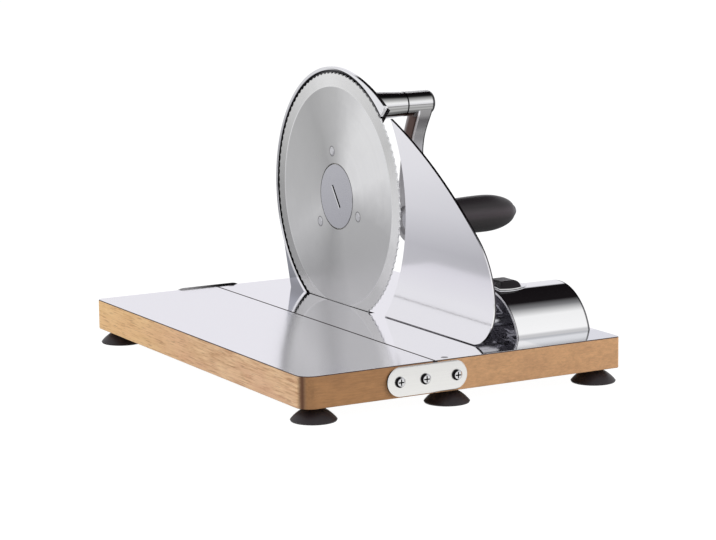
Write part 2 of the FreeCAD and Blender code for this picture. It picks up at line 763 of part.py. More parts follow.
def make_hinge_plate(row, y, sign):
    """A stadium plate: two countersunk screws hold it to the folding board, one shoulder is its pivot."""
    face_y = y if sign < 0 else y + dim("plate_t")
    piece = Piece(f"hinge_plate_{row}", table_spot(y=face_y, z=-dim("pivot_z")))
    half = float(dim("plate_wide")) / 2.0
    rise = float(dim("rear_rise")) if sign > 0 else 0.0
    left = half - float(dim("plate_left"))
    right = float(dim("plate_len")) - float(dim("plate_left")) - half
    low, high = rise - half, rise + half
    flat = piece.sketch("XZ_Plane")
    outline(flat, [
        (point(left, high), point(right, high)),
        (point(right, high), point(right + half, rise), point(right, low)),
        (point(right, low), point(left, low)),
        (point(left, low), point(left - half, rise), point(left, high)),
    ])
    piece.pad(flat, dim("plate_t"))
    outer = -float(dim("plate_t")) if sign < 0 else 0.0
    piece.fillet(0.7, lambda edge: abs(edge.BoundBox.YMin - outer) < 0.01 and edge.BoundBox.YLength < 0.01,
                 kind="Chamfer")
    holes = piece.sketch("XZ_Plane", dim("plate_t") * -2.0)
    circle(holes, (-dim("fix_near"), 0.0), dim("shank_r"))
    circle(holes, (-dim("fix_far"), 0.0), dim("shank_r"))
    circle(holes, (dim("pivot_x") + 0.0, 0.0), dim("shoulder_r") + dim("pivot_play"))
    piece.pocket(holes, dim("plate_t") * 6.0, reverse=True)
    return node(piece.body, f"hinge_plate_{row}")


def cross_recess(name, x, y, z, sign):
    """Two crossed slots, as a tool that cuts a screw head facing the front or the back."""
    deep = dim("head_t") * 0.6
    half, thick = 2.3, 0.9
    near = y - deep if sign > 0 else y
    flat = box(f"{name}_cross_a", table_spot(x - half, near, z - thick / 2), (half * 2, deep, thick))
    tall = box(f"{name}_cross_b", table_spot(x - thick / 2, near, z - half), (thick, deep, half * 2))
    return fuse(f"{name}_cross", [flat, tall])


def hinge_screw(name, x, y, sign, shoulder):
    """A raised head screw into a board's end face; the pivot screw also has a shoulder in the plate."""
    z = -dim("pivot_z")
    turn = Rotation(Vector(0, 0, 1), Vector(0, sign, 0))
    gap = PIVOT_FACE_GAP if shoulder else 0.0
    seat = y + (dim("plate_t") + gap) * sign
    flange = cylinder(f"{name}_flange", table_spot(x, seat, z), dim("head_r"), dim("head_t") * 0.4, turn)
    crown = cone(f"{name}_crown", table_spot(x, seat + dim("head_t") * 0.4 * sign, z), dim("head_r"),
                 dim("head_r") * 0.62, dim("head_t") * 0.6, turn)
    shank = cylinder(f"{name}_shank", table_spot(x, y - SCREW_DEEP * sign, z), dim("shank_r"),
                     dim("plate_t") + SCREW_DEEP, turn)
    solids = [flange, crown, shank]
    if shoulder:
        start = y - dim("side_gap") * sign
        solids.append(cylinder(f"{name}_shoulder", table_spot(x, start, z), dim("shoulder_r"),
                               dim("plate_t") + gap + dim("side_gap"), turn))
    head = fuse(f"{name}_solid", solids)
    crown_top = seat + dim("head_t") * sign
    return cut(name, head, cross_recess(name, x, crown_top, z, sign))


def make_hinge():
    """Plates and screws at both ends of the seam."""
    fixing = []
    for row, y, sign in both_ends():
        make_hinge_plate(row, y, sign)
        fixing.append(hinge_screw(f"plate_screw_near_{row}", -dim("fix_near"), y, sign, False))
        fixing.append(hinge_screw(f"plate_screw_far_{row}", -dim("fix_far"), y, sign, False))
        node(hinge_screw(f"pivot_screw_{row}", dim("pivot_x") + 0.0, y, sign, True), f"pivot_screw_{row}")
    node(group("plate_screws", fixing), "plate_screws")


def make_blade():
    """A ground disc: flat back, long edge bevel on the left face, scallops round the edge."""
    piece = Piece("blade_disc", blade_spot())
    section = piece.sketch("XZ_Plane")
    thick, rim = dim("blade_t"), dim("blade_r")
    polygon(section, [(0.0, dim("eye_r") + 0.0), (0.0, dim("bevel_r") + 0.0), (thick - dim("edge_t"), rim),
                      (thick, rim), (thick, dim("eye_r") + 0.0)])
    piece.revolve(section, "H_Axis")
    notch = piece.sketch("YZ_Plane", -1.0)
    circle(notch, (0.0, rim + dim("scallop_r") - dim("scallop_deep")), dim("scallop_r"))
    scallop = piece.pocket(notch, thick + 2.0, reverse=True)
    piece.repeat(scallop, "X_Axis", dim("teeth"))
    doc.recompute()
    holes = [cylinder(f"blade_rivet_hole_{i}", spot, RIVET_SHANK_R, thick + 1.0)
             for i, spot in enumerate(rivet_spots(-0.5))]
    return node(cut("blade", piece.body, fuse("blade_rivet_holes", holes)), "blade")


def rivet_spots(x):
    """Places of the three rivets at one depth."""
    spots = []
    for i in range(3):
        angle = math.radians(RIVET_ANGLE + 120 * i)
        ring = dim("rivet_ring")
        spots.append(blade_spot(x, ring * math.cos(angle), ring * math.sin(angle)))
    return spots


def make_rivets():
    """Three rivets with low round heads that carry the gear on the blade."""
    rivets = []
    for i, (front, back) in enumerate(zip(rivet_spots(-RIVET_HEAD_T), rivet_spots(dim("blade_t") + WEB_T))):
        head = cone(f"rivet_head_{i}", front, dim("rivet_r") * 0.72, dim("rivet_r"), RIVET_HEAD_T)
        shank = cylinder(f"rivet_shank_{i}", front, RIVET_SHANK_R, dim("blade_t") + WEB_T + RIVET_HEAD_T)
        tail = cylinder(f"rivet_tail_{i}", back, dim("rivet_r"), 0.8)
        rivets.append(fuse(f"rivet_{i}", [head, shank, tail]))
    return node(group("blade_rivets", rivets), "blade_rivets")


def tooth_points(teeth, module, thinning, start):
    """Corner points of an involute gear outline, the first tooth centred at the start angle."""
    pitch_r = teeth * module / 2
    base_r = pitch_r * math.cos(math.radians(20))
    tip_r, root_r = pitch_r + module, pitch_r - 1.25 * module

    def half_angle(radius):
        """Half the angle that a tooth takes up at a radius."""
        def involute(r):
            roll = math.sqrt(max((r / base_r) ** 2 - 1, 0))
            return roll - math.atan(roll)
        at_pitch = (math.pi * module / 2 - thinning) / (2 * pitch_r)
        return at_pitch + involute(pitch_r) - involute(radius)

    foot_r = max(base_r, root_r + 0.3)
    flank = [(foot_r, half_angle(foot_r)), (pitch_r, half_angle(pitch_r)), (tip_r, half_angle(tip_r))]
    points = []
    for i in range(teeth):
        middle = start + 2 * math.pi * i / teeth
        points.append((root_r, middle - half_angle(foot_r)))
        points += [(r, middle - a) for r, a in flank]
        points += [(r, middle + a) for r, a in reversed(flank)]
        points.append((root_r, middle + half_angle(foot_r)))
    return [point(r * math.cos(a), r * math.sin(a)) for r, a in points]


def toothed_disc(label, spot, teeth, start, bore):
    """A spur gear blank with its teeth, padded along +X."""
    piece = Piece(label, spot)
    rim = piece.sketch("YZ_Plane")
    corners = tooth_points(int(float(teeth)), float(dim("gear_module")), float(dim("backlash")), start)
    outline(rim, list(zip(corners, corners[1:] + corners[:1])))
    circle(rim, (0.0, 0.0), bore)
    piece.pad(rim, dim("gear_wide"))
    return piece


def make_blade_gear():
    """The large gear riveted to the back of the blade: thin web, toothed rim, deep hub with a bush."""
    start_x = dim("blade_t") + RIM_OFFSET
    piece = toothed_disc("blade_gear_rim", blade_spot(start_x), dim("blade_teeth"), math.pi / 2, GEAR_RIM_R)
    web = cylinder("blade_gear_web", blade_spot(dim("blade_t") + 0.0), GEAR_RIM_R + 0.5, WEB_T)
    hub = cylinder("blade_gear_hub", blade_spot(dim("blade_t") + 0.0), GEAR_HUB_R, HUB_LEN)
    holes = [cylinder(f"gear_rivet_hole_{i}", spot, RIVET_SHANK_R, WEB_T + 2.0)
             for i, spot in enumerate(rivet_spots(dim("blade_t") - 1.0))]
    holes.append(cylinder("gear_bore", blade_spot(dim("blade_t") - 1.0), BUSH_R, HUB_LEN + 2.0))
    solid = fuse("blade_gear_solid", [piece.body, web, hub])
    node(cut("blade_gear", solid, fuse("blade_gear_holes", holes)), "blade_gear")
    sleeve = cylinder("blade_bush_blank", blade_spot(dim("blade_t") + 0.0), BUSH_R, HUB_LEN)
    bore = cylinder("blade_bush_bore", blade_spot(dim("blade_t") - 1.0), dim("post_r") + dim("bush_play"),
                    HUB_LEN + 2.0)
    node(cut("blade_bush", sleeve, bore), "blade_bush")


def make_post():
    """The fixed post that the blade turns on, with a flange screwed to the back of the gear case."""
    back = dim("case_back")
    start = dim("blade_t") + 0.1
    stem = cylinder("post_stem", blade_spot(start), dim("post_r"), back - start + 0.5)
    flange = cylinder("post_flange", blade_spot(back), POST_FLANGE_R, POST_FLANGE_T)
    spindle = cylinder("post_bore", blade_spot(start - 1.0), LOCK_R + dim("bush_play"), back + 10.0)
    chamber = cylinder("post_chamber", blade_spot(LOCK_CHAMBER_X), LOCK_LUG_R + 0.4, 20.0)
    keyway = box("post_keyway", blade_spot(start - 1.0, -LOCK_LUG_R - 0.4, -LOCK_LUG_WIDE / 2.0 - 0.3),
                 (LOCK_CHAMBER_X, LOCK_LUG_R * 2.0 + 0.8, LOCK_LUG_WIDE + 0.6))
    tools = [spindle, chamber, keyway]
    for i, (y, z) in enumerate(flange_screw_spots()):
        tools.append(cylinder(f"post_screw_hole_{i}", blade_spot(back - 1.0, y, z), FLANGE_SCREW_R, 10.0))
    node(cut("blade_post", fuse("post_solid", [stem, flange]), fuse("post_tools", tools)), "blade_post")
    screws = []
    for i, (y, z) in enumerate(flange_screw_spots()):
        shank = cylinder(f"flange_screw_shank_{i}", blade_spot(back - 3.0, y, z), FLANGE_SCREW_R,
                         POST_FLANGE_T + 3.0)
        head = cylinder(f"flange_screw_head_{i}", blade_spot(back + POST_FLANGE_T, y, z), 2.6, 1.6)
        screws.append(fuse(f"flange_screw_{i}", [shank, head]))
    node(group("post_screws", screws), "post_screws")


def flange_screw_spots():
    """Y and Z of the screws of the post flange, from the blade axis."""
    ring = 14.6
    return [(ring * math.cos(math.radians(a)), ring * math.sin(math.radians(a))) for a in (30, 150, 270)]


def make_lock():
    """The coin-turned quarter-turn lock: round cap in the blade's eye, spindle, two lugs."""
    cap = cylinder("lock_cap", blade_spot(-LOCK_PROUD), LOCK_CAP_R, LOCK_CAP_T)
    soft = doc.addObject("Part::Chamfer", "lock_cap_edge")
    doc.recompute()
    soft.Base = cap
    soft.Edges = [(i, 0.35, 0.35) for i, edge in enumerate(cap.Shape.Edges, start=1)
                  if abs(edge.BoundBox.XMax - float(blade_spot(-LOCK_PROUD)[0])) < 0.01]
    end = LOCK_CHAMBER_X + LOCK_LUG_T + 0.4
    spindle = cylinder("lock_spindle", blade_spot(0.2), LOCK_R, end - 0.2)
    lugs = box("lock_lugs", blade_spot(LOCK_CHAMBER_X + 0.3, -LOCK_LUG_WIDE / 2.0, -LOCK_LUG_R),
               (LOCK_LUG_T, LOCK_LUG_WIDE, LOCK_LUG_R * 2.0))
    slot = box("lock_coin_slot", (0.0, 0.0, 0.0), (COIN_DEEP + 1.0, COIN_LONG, COIN_WIDE))
    lean = Rotation(Vector(1, 0, 0), COIN_ANGLE)
    shift = lean.multVec(Vector(0, -COIN_LONG / 2.0, -COIN_WIDE / 2.0))
    place(slot, blade_spot(-LOCK_PROUD - 1.0, shift.y, shift.z), lean)
    solid = fuse("lock_solid", [soft, spindle, lugs])
    return node(cut("blade_lock", solid, slot), "blade_lock")


def guard_outline(tip):
    """Outer edge of the guard from the table round the back to the flared front tip, closed inside."""
    out_r, flare = float(dim("rim_out")), float(dim("rim_flare_r"))
    middle = (-(flare - out_r) * math.cos(math.radians(FLARE_START)),
              -(flare - out_r) * math.sin(math.radians(FLARE_START)))
    floor = -float(dim("blade_z"))
    flare_end = flare_angle(middle, flare, tip)
    outer_tip = polar(flare, flare_end, middle)
    parts = [
        (polar(out_r, REAR_TANGENT), polar(out_r, 40), polar(out_r, FLARE_START)),
        (polar(out_r, FLARE_START), polar(flare, (FLARE_START + flare_end) / 2, middle), outer_tip),
    ]
    return parts, outer_tip, floor


def flare_angle(middle, flare, tip):
    """Angle on the flare's own circle of the point that lies at the tip angle round the blade."""
    low, high = FLARE_START, tip + 20.0
    for _ in range(40):
        guess = (low + high) / 2
        spot = polar(flare, guess, middle)
        if math.degrees(math.atan2(spot.y, spot.x)) < tip:
            low = guess
        else:
            high = guess
    return low


def make_housing():
    """The cast guard: wall behind the blade, raised rim, gear case, crank boss and foot."""
    piece = Piece("housing_wall", blade_spot())
    case_r, rim_in = float(dim("case_r")), float(dim("rim_in"))
    back = float(dim("foot_back"))
    outer, outer_tip, floor = guard_outline(TIP_ANGLE)
    wall = piece.sketch("YZ_Plane", WALL_FRONT)
    tip_in = polar(case_r, TIP_ANGLE)
    case_end = polar(case_r, CASE_END)
    rear = (point(back, floor), outer[0][0])
    outline(wall, [rear] + outer + [
        (outer_tip, tip_in),
        (tip_in, polar(case_r, (TIP_ANGLE + CASE_END + 360) / 2), case_end),
        (case_end, point(FOOT_FRONT, floor)),
        (point(FOOT_FRONT, floor), point(back, floor)),
    ])
    piece.pad(wall, WALL_BACK - WALL_FRONT)
    piece.fillet(WALL_CHAMFER, lambda edge: outer_back_edge(edge, rim_in), kind="Chamfer")
    recess = piece.sketch("YZ_Plane", WALL_FRONT - 1.0)
    circle(recess, (0.0, 0.0), dim("rim_in"))
    piece.pocket(recess, RECESS_FLOOR - WALL_FRONT + 1.0, reverse=True)

    rim = Piece("housing_rim", blade_spot())
    lip = rim.sketch("YZ_Plane", dim("rim_tall") * -1.0)
    foot_out = math.degrees(math.asin(floor / float(dim("rim_out"))))
    foot_in = math.degrees(math.asin(floor / rim_in))
    tip_inner = polar(rim_in, TIP_ANGLE)
    outline(lip, [
        (polar(float(dim("rim_out")), foot_out), polar(float(dim("rim_out")), 20),
         polar(float(dim("rim_out")), FLARE_START)),
        outer[1],
        (outer_tip, tip_inner),
        (tip_inner, polar(rim_in, 20), polar(rim_in, foot_in)),
        (polar(rim_in, foot_in), polar(float(dim("rim_out")), foot_out)),
    ])
    rim.pad(lip, dim("rim_tall") + WALL_FRONT + 0.4)
    rim.fillet(TIP_ROUND, lambda edge: near_spot(edge, outer_tip))
    rim.fillet(0.35, lambda edge: edge.BoundBox.XMax < -float(dim("rim_tall")) + 0.01)
    return piece.body, rim.body


def near_spot(edge, spot):
    """The edge runs along X through a sketch point."""
    box_ = edge.BoundBox
    flat = box_.YLength < 1e-4 and box_.ZLength < 1e-4
    return flat and abs(box_.YMin - spot.x) < 0.05 and abs(box_.ZMin - spot.y) < 0.05


def outer_back_edge(edge, rim_in):
    """A rounded outer edge on the back face of the wall."""
    box_ = edge.BoundBox
    if box_.XLength > 1e-4 or abs(box_.XMax - WALL_BACK) > 0.01:
        return False
    middle = edge.valueAt((edge.FirstParameter + edge.LastParameter) / 2)
    return math.hypot(middle.y, middle.z) > rim_in


def back_disc(name, spot, radius):
    """A round case on the back of the wall, its last few millimetres drafted inwards."""
    straight = dim("case_back") - CASE_START - CASE_DRAFT
    tall = cylinder(f"{name}_side", spot, radius, straight)
    drafted = (spot[0] + straight, spot[1], spot[2])
    lid = cone(f"{name}_draft", drafted, radius, radius - CASE_DRAFT, CASE_DRAFT)
    return [tall, lid]


def wall_ribs():
    """Radial ribs between the gear case and the rim, on the back of the wall."""
    ribs = []
    inner, outer = float(dim("case_r")) - 2.0, float(dim("rim_in")) - 6.0
    for i, degrees in enumerate(RIB_ANGLES):
        turn = Rotation(Vector(1, 0, 0), degrees)
        shift = turn.multVec(Vector(0, inner, -RIB_T / 2.0))
        rib = box(f"wall_rib_{i}", (0.0, 0.0, 0.0), (RIB_TALL, outer - inner, RIB_T))
        place(rib, blade_spot(WALL_BACK - 0.4, shift.y, shift.z), turn)
        ribs.append(rib)
    return ribs


def housing_foot():
    """Foot plate on the table with rounded corners and two gussets up to the case."""
    piece = Piece("housing_foot", blade_spot(z=-dim("blade_z")))
    plate = piece.sketch("XY_Plane")
    near, far = FOOT_FRONT, float(dim("foot_back")) - 3.5
    left = RECESS_FLOOR + 0.2
    polygon(plate, [(left, near), (FOOT_REACH, near), (FOOT_REACH, far), (left, far)])
    piece.pad(plate, FOOT_T)
    piece.fillet(6.0, lambda edge: is_upright(edge) and edge.BoundBox.XMin > FOOT_REACH - 0.1)
    parts = [piece.body]
    for i, y in enumerate((FOOT_FRONT + 4.0, FOOT_FRONT + 44.0)):
        gusset = Piece(f"housing_gusset_{i}", blade_spot(y=y, z=-dim("blade_z")))
        side = gusset.sketch("XZ_Plane")
        polygon(side, [(WALL_BACK - 1.0, FOOT_T - 1.0), (FOOT_REACH - 3.0, FOOT_T - 1.0),
                       (FOOT_REACH - 9.0, FOOT_T + 2.0), (WALL_BACK + 3.0, FOOT_T + 34.0),
                       (WALL_BACK - 1.0, FOOT_T + 34.0)])
        gusset.pad(side, GUSSET_T)
        parts.append(gusset.body)
    return parts


def finish_housing():
    """Join the cast parts, then cut the gear cavities, the bores and the screw holes."""
    wall, rim = make_housing()
    case = back_disc("blade_case", blade_spot(CASE_START), dim("case_r"))
    pinion_case = back_disc("pinion_case", crank_spot(CASE_START), PINION_CASE_R)
    boss = cone("crank_boss", crank_spot(dim("case_back") - 1.0), dim("boss_root_r"), dim("boss_end_r"),
                dim("boss_end") - dim("case_back") + 1.0)
    solid = fuse("housing_solid", [wall, rim, boss] + case + pinion_case + wall_ribs() + housing_foot())
    cavity = dim("blade_t") + RIM_OFFSET + dim("gear_wide") + 1.2
    tools = [
        cylinder("blade_cavity", blade_spot(-2.0), dim("case_r") - CASE_WALL, cavity + 2.0),
        cylinder("pinion_cavity", crank_spot(-2.0), PINION_CASE_R - CASE_WALL, cavity + 2.0),
        cylinder("post_hole", blade_spot(), dim("post_r"), 20.0),
        cylinder("boss_bore", crank_spot(), CRANK_BUSH_R, dim("boss_end") + 2.0),
    ]
    for i, (y, z) in enumerate(flange_screw_spots()):
        tools.append(cylinder(f"flange_pilot_{i}", blade_spot(dim("case_back") - 3.0, y, z), FLANGE_SCREW_R,
                              6.0))
    for name, x, y in base_screw_spots()[:4]:
        tools.append(cylinder(f"{name}_pilot", table_spot(x, y, -1.0), BASE_SHANK_R,
                              BASE_SCREW_REACH + 1.0, ALONG_Z))
    node(cut("blade_housing", solid, fuse("housing_tools", tools)), "blade_housing")


def make_crank_bushes():
    """Two sleeves pressed into the boss, one at each end."""
    cavity = dim("blade_t") + RIM_OFFSET + dim("gear_wide") + 1.2
    for label, start, length in (("crank_bush_inner", cavity, 12.0),
                                 ("crank_bush_outer", dim("boss_end") - 14.0, 14.0)):
        sleeve = cylinder(f"{label}_blank", crank_spot(start), CRANK_BUSH_R, length)
        bore_r = dim("shaft_r") + dim("bush_play")
        bore = cylinder(f"{label}_bore", crank_spot(start - 1.0), bore_r, length + 2.0)
        node(cut(label, sleeve, bore), label)


def make_crank_shaft():
    """The crank shaft with its pinion."""
    start = dim("blade_t") + RIM_OFFSET
    end = dim("boss_end") + HUB_GAP + SHAFT_IN_HUB
    node(cylinder("crank_shaft", crank_spot(start), dim("shaft_r"), end - start), "crank_shaft")
    teeth = dim("pinion_teeth")
    gap_down = -math.pi / 2 + math.pi / float(teeth)
    piece = toothed_disc("pinion_rim", crank_spot(start), teeth, gap_down, dim("shaft_r"))
    hub = cylinder("pinion_hub_blank", crank_spot(start + 1.0), PINION_HUB_R, dim("gear_wide") - 0.1)
    bore = cylinder("pinion_hub_bore", crank_spot(), dim("shaft_r"), 20.0)
    node(cut("crank_pinion", fuse("pinion_solid", [piece.body, hub]), bore), "crank_pinion")


def rounded_disc(name, spot, radius, length, soft_r, ends):
    """A cylinder along X with its chosen rims rounded."""
    blank = cylinder(f"{name}_blank", spot, radius, length)
    disc = doc.addObject("Part::Fillet", name)
    doc.recompute()
    disc.Base = blank
    low, high = float(spot[0]), float(spot[0] + length)
    stops = {"left": low, "right": high}
    rims = []
    for i, edge in enumerate(blank.Shape.Edges, start=1):
        middle = edge.BoundBox.Center.x
        if edge.BoundBox.XLength < 1e-4 and any(abs(middle - stops[end]) < 1e-3 for end in ends):
            rims.append((i, soft_r, soft_r))
    disc.Edges = rims
    return disc


def make_crank_arm():
    """Round hub, waisted arm that steps inwards and a broad round eye for the grip axle."""
    start = dim("boss_end") + HUB_GAP
    inner, outer, drop = float(dim("arm_in")), float(dim("arm_out")), float(dim("crank_r"))
    eye_r = float(dim("eye_arm_r"))
    below = -drop - eye_r - 10.0
    side = Piece("arm_side", crank_spot(start))
    profile = side.sketch("XZ_Plane", -25.0)
    left_face = [(x, z) for z, x in zip(ARM_LEVELS, ARM_LEFT)] + [(inner, ARM_STRAIGHT)]
    right_face = [(x, z) for z, x in zip(ARM_LEVELS, ARM_RIGHT)] + [(outer, ARM_STRAIGHT)]
    outline(profile, [
        smooth(right_face, (0, -1), (0, -1)),
        (point(outer, ARM_STRAIGHT), point(outer, below)),
        (point(outer, below), point(inner, below)),
        (point(inner, below), point(inner, ARM_STRAIGHT)),
        smooth(left_face[::-1], (0, 1), (0, 1)),
        (point(*left_face[0]), point(*right_face[0])),
    ])
    side.pad(profile, 50.0)
    front = Piece("arm_front", crank_spot(start))
    shape = front.sketch("YZ_Plane")
    lean = math.radians(EYE_TANGENT)
    touch = (eye_r * math.cos(lean), -drop + eye_r * math.sin(lean))
    half = list(zip(ARM_HALF, ARM_HALF_LEVELS)) + [touch]
    mirrored = [(-y, z) for y, z in reversed(half)]
    outline(shape, [
        smooth(half, (0, -1), (math.sin(lean), -math.cos(lean))),
        (point(*touch), point(0, -drop - eye_r), point(-touch[0], touch[1])),
        smooth(mirrored, (math.sin(lean), math.cos(lean)), (0, 1)),
        (point(*mirrored[-1]), point(*half[0])),
    ])
    front.pad(shape, 30.0)
    blank = common("arm_blank", side.body, front.body)
    soft = doc.addObject("Part::Fillet", "arm_round")
    doc.recompute()
    soft.Base = blank
    soft.Edges = [(i, ARM_ROUND, ARM_ROUND) for i, edge in enumerate(blank.Shape.Edges, start=1)
                  if edge.BoundBox.ZLength > 5.0 and edge.BoundBox.XLength < 9.0]
    hub = rounded_disc("arm_hub", crank_spot(start), dim("hub_r"), dim("hub_len"), HUB_ROUND, ("right",))
    solid = fuse("arm_solid", [soft, hub])
    inside = crank_spot(start + inner - 1.0, z=-dim("crank_r"))
    tools = [
        cylinder("arm_shaft_bore", crank_spot(), dim("shaft_r"), start + SHAFT_IN_HUB),
        cylinder("arm_axle_bore", inside, dim("axle_r"), 30.0),
        cylinder("arm_dish", inside, DISH_R, 1.0 + DISH_DEEP),
        cylinder("arm_setscrew_bore", crank_spot(start + SETSCREW_X, dim("shaft_r") * 0.5), SETSCREW_R, 12.0,
                 ALONG_Y),
    ]
    return node(cut("crank_arm", solid, fuse("arm_tools", tools)), "crank_arm")


def make_grip():
    """The turning grip, its steel axle and the set screw of the hub."""
    arm_face = dim("boss_end") + HUB_GAP + dim("arm_out")
    start = arm_face + GRIP_GAP
    piece = Piece("grip_body", crank_spot(start, z=-dim("crank_r")))
    length, widest = float(dim("grip_len")), float(dim("grip_r"))
    bore = float(dim("axle_r")) + float(dim("bush_play"))
    section = piece.sketch("XZ_Plane")
    outline(section, [
        (point(0, bore), point(0, 10.2)),
        (point(0, 10.2), point(0.5, 11.4), point(1.8, 12.0)),
        (point(1.8, 12.0), point(14, 12.9), point(30, 13.9), point(50, widest), point(66, 14.2),
         point(76, 11.9), point(83, 8.2), point(length, 4.4)),
        (point(length, 4.4), point(length, bore)),
        (point(length, bore), point(0, bore)),
    ])
    piece.revolve(section, "H_Axis")
    node(piece.body, "grip")
    head_x = dim("boss_end") + HUB_GAP + dim("arm_in") + DISH_DEEP
    head = cylinder("axle_head", crank_spot(head_x - 1.2, z=-dim("crank_r")), 6.5, 1.2)
    pin = cylinder("axle_pin", crank_spot(head_x - 1.2, z=-dim("crank_r")), dim("axle_r"),
                   start + dim("grip_len") - head_x + 1.2 + 0.3)
    tip_x = start + dim("grip_len") + 0.3
    tip = cone("axle_tip", crank_spot(tip_x, z=-dim("crank_r")), 4.9, 3.2, AXLE_TIP_T)
    node(fuse("grip_axle", [head, pin, tip]), "grip_axle")
    node(cylinder("hub_setscrew", crank_spot(dim("boss_end") + HUB_GAP + SETSCREW_X, dim("shaft_r") + 0.0),
                  SETSCREW_R, 3.6, ALONG_Y), "hub_setscrew")


def turning_arcs(start, heading, turns):
    """A chain of tangent arcs that turn clockwise, each given by its radius and its angle."""
    arcs = []
    x, y = start
    for radius, angle in turns:
        middle = (x + radius * math.cos(heading - math.pi / 2), y + radius * math.sin(heading - math.pi / 2))
        stops = []
        for part in (0.0, 0.5, 1.0):
            turned = heading + math.pi / 2 - angle * part
            stops.append(point(middle[0] + radius * math.cos(turned), middle[1] + radius * math.sin(turned)))
        arcs.append(tuple(stops))
        x, y = stops[-1].x, stops[-1].y
        heading -= angle
    return arcs


def make_fence():
    """The sail-shaped thickness plate: its back edge follows the blade, its front sweeps up to a tip."""
    piece = Piece("thickness_plate", table_spot(dim("plate_x")))
    lift = float(dim("fence_lift"))
    arcs = turning_arcs((FENCE_NOSE_Y, lift), math.pi, FENCE_TURNS)
    tip = arcs[-1][-1]
    back_centre = (float(dim("blade_y")) + FENCE_BACK_SHIFT, float(dim("blade_z")) - 0.6)
    back_r = math.hypot(tip.x - back_centre[0], tip.y - back_centre[1])
    low_y = back_centre[0] - math.sqrt(back_r ** 2 - (back_centre[1] - lift) ** 2)
    face = piece.sketch("YZ_Plane")
    outline(face, [(point(low_y, lift), arcs[0][0])] + arcs
            + [(tip, point(back_centre[0] - back_r, back_centre[1]), point(low_y, lift))])
    piece.pad(face, dim("fence_t"))
    return node(piece.body, "thickness_plate")


def rod_spots(x):
    """The two guide rods at one X."""
    return [("front", table_spot(x, dim("shell_y") - dim("rod_half"), dim("rod_z"))),
            ("rear", table_spot(x, dim("shell_y") + dim("rod_half"), dim("rod_z")))]


def make_slide():
    """What moves with the thickness plate: bracket, two rods, slide block, saddle and thumb knob."""
    behind = dim("plate_x") + dim("fence_t")
    bracket = Piece("bracket_body", table_spot(behind, dim("shell_y"), dim("rod_z")))
    flat = bracket.sketch("YZ_Plane")
    half, tall = dim("rod_half") + 8.0, 7.2
    polygon(flat, [(-half, -tall), (half, -tall), (half, tall), (-half, tall)])
    bracket.pad(flat, BRACKET_T)
    bracket.fillet(6.0, lambda edge: edge.BoundBox.YLength < 1e-4 and edge.BoundBox.ZLength < 1e-4)
    holes = [
        cylinder(f"bracket_hole_{row}", spot, dim("rod_r"), BRACKET_T)
        for row, spot in rod_spots(behind)
    ]
    node(cut("plate_bracket", bracket.body, fuse("bracket_holes", holes)), "plate_bracket")
    for row, spot in rod_spots(behind):
        node(cylinder(f"guide_rod_{row}", spot, dim("rod_r"), ROD_END - behind), f"guide_rod_{row}")
    block = box("slide_block_bar", table_spot(BLOCK_X, dim("shell_y") - dim("rod_half") - 6.0, 5.0),
                (BLOCK_LONG, (dim("rod_half") + 6.0) * 2.0, 10.0))
    neck = box("slide_block_neck", table_spot(BLOCK_X + 2.0, dim("shell_y") - dim("neck_wide") / 2.0, 14.0),
               (5.0, dim("neck_wide"), NECK_TOP - 14.0))
    holes = [
        cylinder(f"block_hole_{row}", spot, dim("rod_r"), BLOCK_LONG)
        for row, spot in rod_spots(BLOCK_X)
    ]
    bar = fuse("slide_block_solid", [block, neck])
    node(cut("slide_block", bar, fuse("block_holes", holes)), "slide_block")
    return neck


def shell_axis(x):
    return table_spot(x, dim("shell_y") + 0.0, -dim("shell_drop"))


def is_knob_rim(edge):
    """The upper edges of the knob's two sides and the edges of its flat left end."""
    box_of_edge = edge.BoundBox
    upper = box_of_edge.ZMin > 29.3 and box_of_edge.YLength < 1e-3
    left_end = box_of_edge.XMax < 0.01 and box_of_edge.ZLength + box_of_edge.YLength > 5
    return upper or (left_end and box_of_edge.ZMax > 30)


